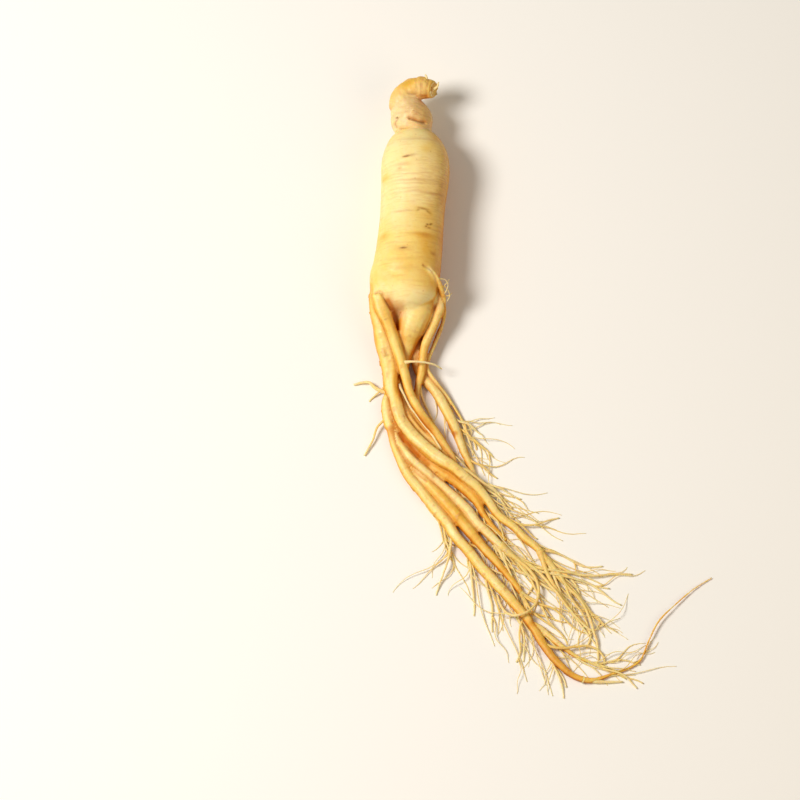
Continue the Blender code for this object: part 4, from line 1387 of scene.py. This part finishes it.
def skin_material(name, stops, gloss, glow, bump_mm):
    """Fresh root skin, washed and still moist: a thin matt skin over pale watery flesh.

    Cream to amber by the stored warmth, which holds the skin's own tone and also painted shade on the body's flanks
    and the legs' sides;
    brown in scars and along the growth rings; and painted shade, orange to deep amber, in hollows, grooves, between
    the legs and near the floor. Light sinks into the flesh, so the colour glows at thin edges.
    """
    material = bpy.data.materials.new(name)
    material.use_nodes = True
    tree = material.node_tree
    shader = tree.nodes["Principled BSDF"]
    spot = add(tree, "ShaderNodeTexCoord").outputs["Object"]

    # Clouds of warmer skin about 9 mm across, and mottling of about 1.5 mm
    clouds = add(tree, "ShaderNodeTexNoise", {"Vector": spot, "Scale": 110.0, "Detail": 3.0}).outputs[0]
    mottle = add(tree, "ShaderNodeTexNoise", {"Vector": spot, "Scale": 650.0, "Detail": 3.0}).outputs[0]
    warmth = sums(tree, "MULTIPLY_ADD", clouds, 0.34, stored(tree, "warmth"))
    warmth = sums(tree, "MULTIPLY_ADD", mottle, 0.16, warmth)
    warmth = sums(tree, "SUBTRACT", warmth, 0.25)
    ramp = add(tree, "ShaderNodeValToRGB", {0: warmth})
    while len(ramp.color_ramp.elements) < len(stops):
        ramp.color_ramp.elements.new(0.5)
    for element, (position, colour) in zip(ramp.color_ramp.elements, stops):
        element.position = position
        element.color = linear(colour)
    colour = ramp.outputs[0]

    # Streaks across the root every millimetre or so, drawn along the distance from its base
    split = add(tree, "ShaderNodeSeparateXYZ", {0: spot})
    ringed = add(
        tree,
        "ShaderNodeCombineXYZ",
        {0: stored(tree, "along"), 1: sums(tree, "MULTIPLY", split.outputs[0], 120.0), 2: sums(tree, "MULTIPLY", split.outputs[2], 120.0)},
    ).outputs[0]
    streaks = add(tree, "ShaderNodeTexNoise", {"Vector": ringed, "Scale": 1.1, "Detail": 4.0, "Roughness": 0.65}).outputs[0]
    streak = add(tree, "ShaderNodeMapRange", {0: streaks, 1: 0.52, 2: 0.74, 3: 0.0, 4: 0.30}).outputs[0]
    colour = mixed(tree, streak, colour, linear("#d9a45c"), "MULTIPLY")

    # Russet hatching, in short strokes of about a third of a millimetre by three
    hatch = add(tree, "ShaderNodeTexNoise", {"Vector": ringed, "Scale": 3.0, "Detail": 3.0, "Roughness": 0.6}).outputs[0]
    strokes = add(tree, "ShaderNodeMapRange", {0: hatch, 1: 0.40, 2: 0.66, 3: 0.30, 4: 1.0}).outputs[0]
    russet = sums(tree, "MULTIPLY", stored(tree, "russet"), strokes)
    colour = mixed(tree, sums(tree, "MULTIPLY", russet, 0.85), colour, linear("#c98f55"))
    colour = mixed(tree, sums(tree, "MULTIPLY", stored(tree, "blush"), 0.75), colour, linear("#c07c3a"))
    # Painted shade from the stored mask: orange where other parts or the floor fill the open air, in the grooves and
    # under the old stem, and deep amber where it is strongest
    colour = mixed(tree, sums(tree, "MULTIPLY", stored(tree, "fold"), 0.85), colour, linear("#d4780a"))
    deep = add(tree, "ShaderNodeMapRange", {0: stored(tree, "fold"), 1: 0.55, 2: 1.0, 3: 0.0, 4: 0.85}).outputs[0]
    colour = mixed(tree, deep, colour, linear("#b45c04"))

    # Pores: small brown dots a few millimetres apart
    pores = add(tree, "ShaderNodeTexVoronoi", {"Vector": spot, "Scale": 190.0, "Randomness": 1.0}).outputs["Distance"]
    dots = add(tree, "ShaderNodeMapRange", {0: pores, 1: 0.05, 2: 0.09, 3: 0.45, 4: 0.0}).outputs[0]
    colour = mixed(tree, sums(tree, "MULTIPLY", dots, mottle), colour, linear("#b27636"))
    colour = mixed(tree, stored(tree, "stain"), colour, linear("#945a24"))
    tree.links.new(colour, shader.inputs["Base Color"])

    fine = add(tree, "ShaderNodeTexNoise", {"Vector": spot, "Scale": 2200.0, "Detail": 2.0}).outputs[0]
    height = sums(tree, "MULTIPLY_ADD", fine, 0.35, streaks)
    bump = add(tree, "ShaderNodeBump", {"Height": height, "Distance": bump_mm * MM, "Strength": 0.8})
    tree.links.new(bump.outputs[0], shader.inputs["Normal"])
    rough = add(tree, "ShaderNodeMapRange", {0: mottle, 1: 0.3, 2: 0.7, 3: gloss - 0.07, 4: gloss + 0.09}).outputs[0]
    tree.links.new(rough, shader.inputs["Roughness"])
    # Less shine where the shade is painted
    dull = add(tree, "ShaderNodeMapRange", {0: stored(tree, "fold"), 1: 0.0, 2: 0.7, 3: 0.5, 4: 0.06}).outputs[0]
    tree.links.new(dull, shader.inputs["Specular IOR Level"])
    shader.inputs["IOR"].default_value = 1.42
    shader.inputs["Subsurface Weight"].default_value = glow
    shader.inputs["Subsurface Radius"].default_value = (1.0, 0.48, 0.14)
    shader.inputs["Subsurface Scale"].default_value = 1.6 * MM
    return material


NECK_STOPS = ((0.0, "#f4daa4"), (0.25, "#eecb84"), (0.5, "#ebbd50"), (0.75, "#dca02e"), (1.0, "#b0641c"))
SKIN_STOPS = ((0.0, "#f8e4a4"), (0.25, "#f6d67c"), (0.5, "#efbd4e"), (0.75, "#dd962c"), (1.0, "#c0701a"))
ROOTLET_STOPS = ((0.0, "#f9e4ac"), (0.3, "#f3d07c"), (0.6, "#dfa644"), (1.0, "#b8722a"))


def floor():
    deselect()
    bpy.ops.mesh.primitive_plane_add(size=6.0)
    sheet = bpy.context.active_object
    sheet.name = "floor"
    material = bpy.data.materials.new("matt_pale_paper")
    material.use_nodes = True
    shader = material.node_tree.nodes["Principled BSDF"]
    shader.inputs["Base Color"].default_value = linear("#f7f6f4")
    shader.inputs["Roughness"].default_value = 0.8
    sheet.data.materials.append(material)


def lamp(name, direction, distance, size, power, colour, target):
    data = bpy.data.lights.new(name, "AREA")
    data.shape = "DISK"
    data.size = size
    data.energy = power
    data.color = linear(colour)[:3]
    obj = bpy.data.objects.new(name, data)
    bpy.context.scene.collection.objects.link(obj)
    back = Vector(direction).normalized()
    obj.location = target + back * distance
    obj.rotation_euler = back.to_track_quat("Z", "Y").to_euler()


def studio():
    """A soft key from the left, a weak fill, pale surroundings, and the camera of the photograph."""
    target = place((-6.14, -2.91, 8.0))
    lamp("key", (-0.62, 0.02, 0.80), 1.1, 0.42, 11.4, "#fffaf2", target)
    lamp("fill", (0.8, -0.5, 0.8), 1.3, 0.9, 3.4, "#ffe4bc", target)
    world = bpy.data.worlds.new("pale_room")
    world.use_nodes = True
    world.node_tree.nodes["Background"].inputs[0].default_value = linear("#fffaf0")
    world.node_tree.nodes["Background"].inputs[1].default_value = 0.26
    bpy.context.scene.world = world
    bpy.context.scene.view_settings.view_transform = "Standard"

    elevation = math.radians(70)
    lens, distance = 1200.0, 10.932
    data = bpy.data.cameras.new("photo_camera")
    data.lens = lens
    camera = bpy.data.objects.new("photo_camera", data)
    bpy.context.scene.collection.objects.link(camera)
    camera.location = target + distance * Vector((0, -math.cos(elevation), math.sin(elevation)))
    camera.rotation_euler = (math.pi / 2 - elevation, 0, 0)
    bpy.context.scene.camera = camera


def finish_piece(obj, material):
    obj.data.materials.clear()
    obj.data.materials.append(material)
    activate(obj)
    bpy.ops.object.shade_smooth()
    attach(obj, "root")


def build():
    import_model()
    cad_low, cad_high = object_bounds()
    legs = {name: smooth_route(points, 1.0) for name, points in LEGS.items()}
    solid_legs = {name: smooth_route(points, LEG_STEP) for name, points in LEGS.items()}

    skin = body_skin(legs)
    groove_shades = shape_body_skin(skin, legs)
    neck = neck_skin()
    crown_underside_shade = shape_neck_skin(neck)
    for obj, folded in ((skin, groove_shades), (neck, crown_underside_shade)):
        # Painted shade: how hidden each vertex is, with the grooves and the crown's underside, is stored for the
        # materials to colour
        open_air = hidden_share(obj, 14, 9.0)
        hidden = 0.50 * ease(0.04, 0.50, open_air) + 0.50 * ease(0.50, 0.95, open_air)
        keep_values(obj, fold=np.maximum(hidden, folded))

    rootlets = rootlet_routes(solid_legs)
    fine_routes = [crooked(route, i) for i, route in enumerate(rootlets.values())]
    strands = tubes("rootlets", fine_routes, 8)
    pale = [i for i, name in enumerate(rootlets) if name in PALE_ROOTLETS]
    colour_tubes(strands, fine_routes, 0.30, 0.10, "rootlet colours", pale)
    curls = [smooth_route(points, 0.7) for points in CURLS]
    hairs = [*thread_routes(legs), *hair_routes(legs, rootlets), *curls]
    hairs = [crooked(route, 50 + i) for i, route in enumerate(hairs)]
    hairs = [route for route in hairs if inside_box(route, cad_low, cad_high)]
    wisps = tubes("fine_hairs", hairs, 6)
    colour_tubes(wisps, hairs, 0.26, 0.02, "hair colours")
    fibres = crown_fibres()
    husk = stem_husk()

    skin_look = skin_material("moist_root_skin", SKIN_STOPS, 0.44, 0.45, 0.10)
    neck_look = skin_material("rosy_neck_skin", NECK_STOPS, 0.46, 0.40, 0.08)
    rootlet_look = skin_material("rootlet_skin", ROOTLET_STOPS, 0.48, 0.25, 0.04)
    dry_look = skin_material("dry_stem_skin", ROOTLET_STOPS, 0.60, 0.04, 0.04)
    for obj, look in ((skin, skin_look), (neck, neck_look), (strands, rootlet_look), (wisps, rootlet_look), (fibres, dry_look), (husk, dry_look)):
        finish_piece(obj, look)
    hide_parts("ginseng_root")
    floor()
    studio()
    for obj in (skin, neck, strands, wisps, fibres, husk):
        top = max((v.co for v in obj.data.vertices), key=lambda co: co.z)
        print(obj.name, sum(len(face.vertices) - 2 for face in obj.data.polygons), "triangles", top / MM + MIDDLE)


build()
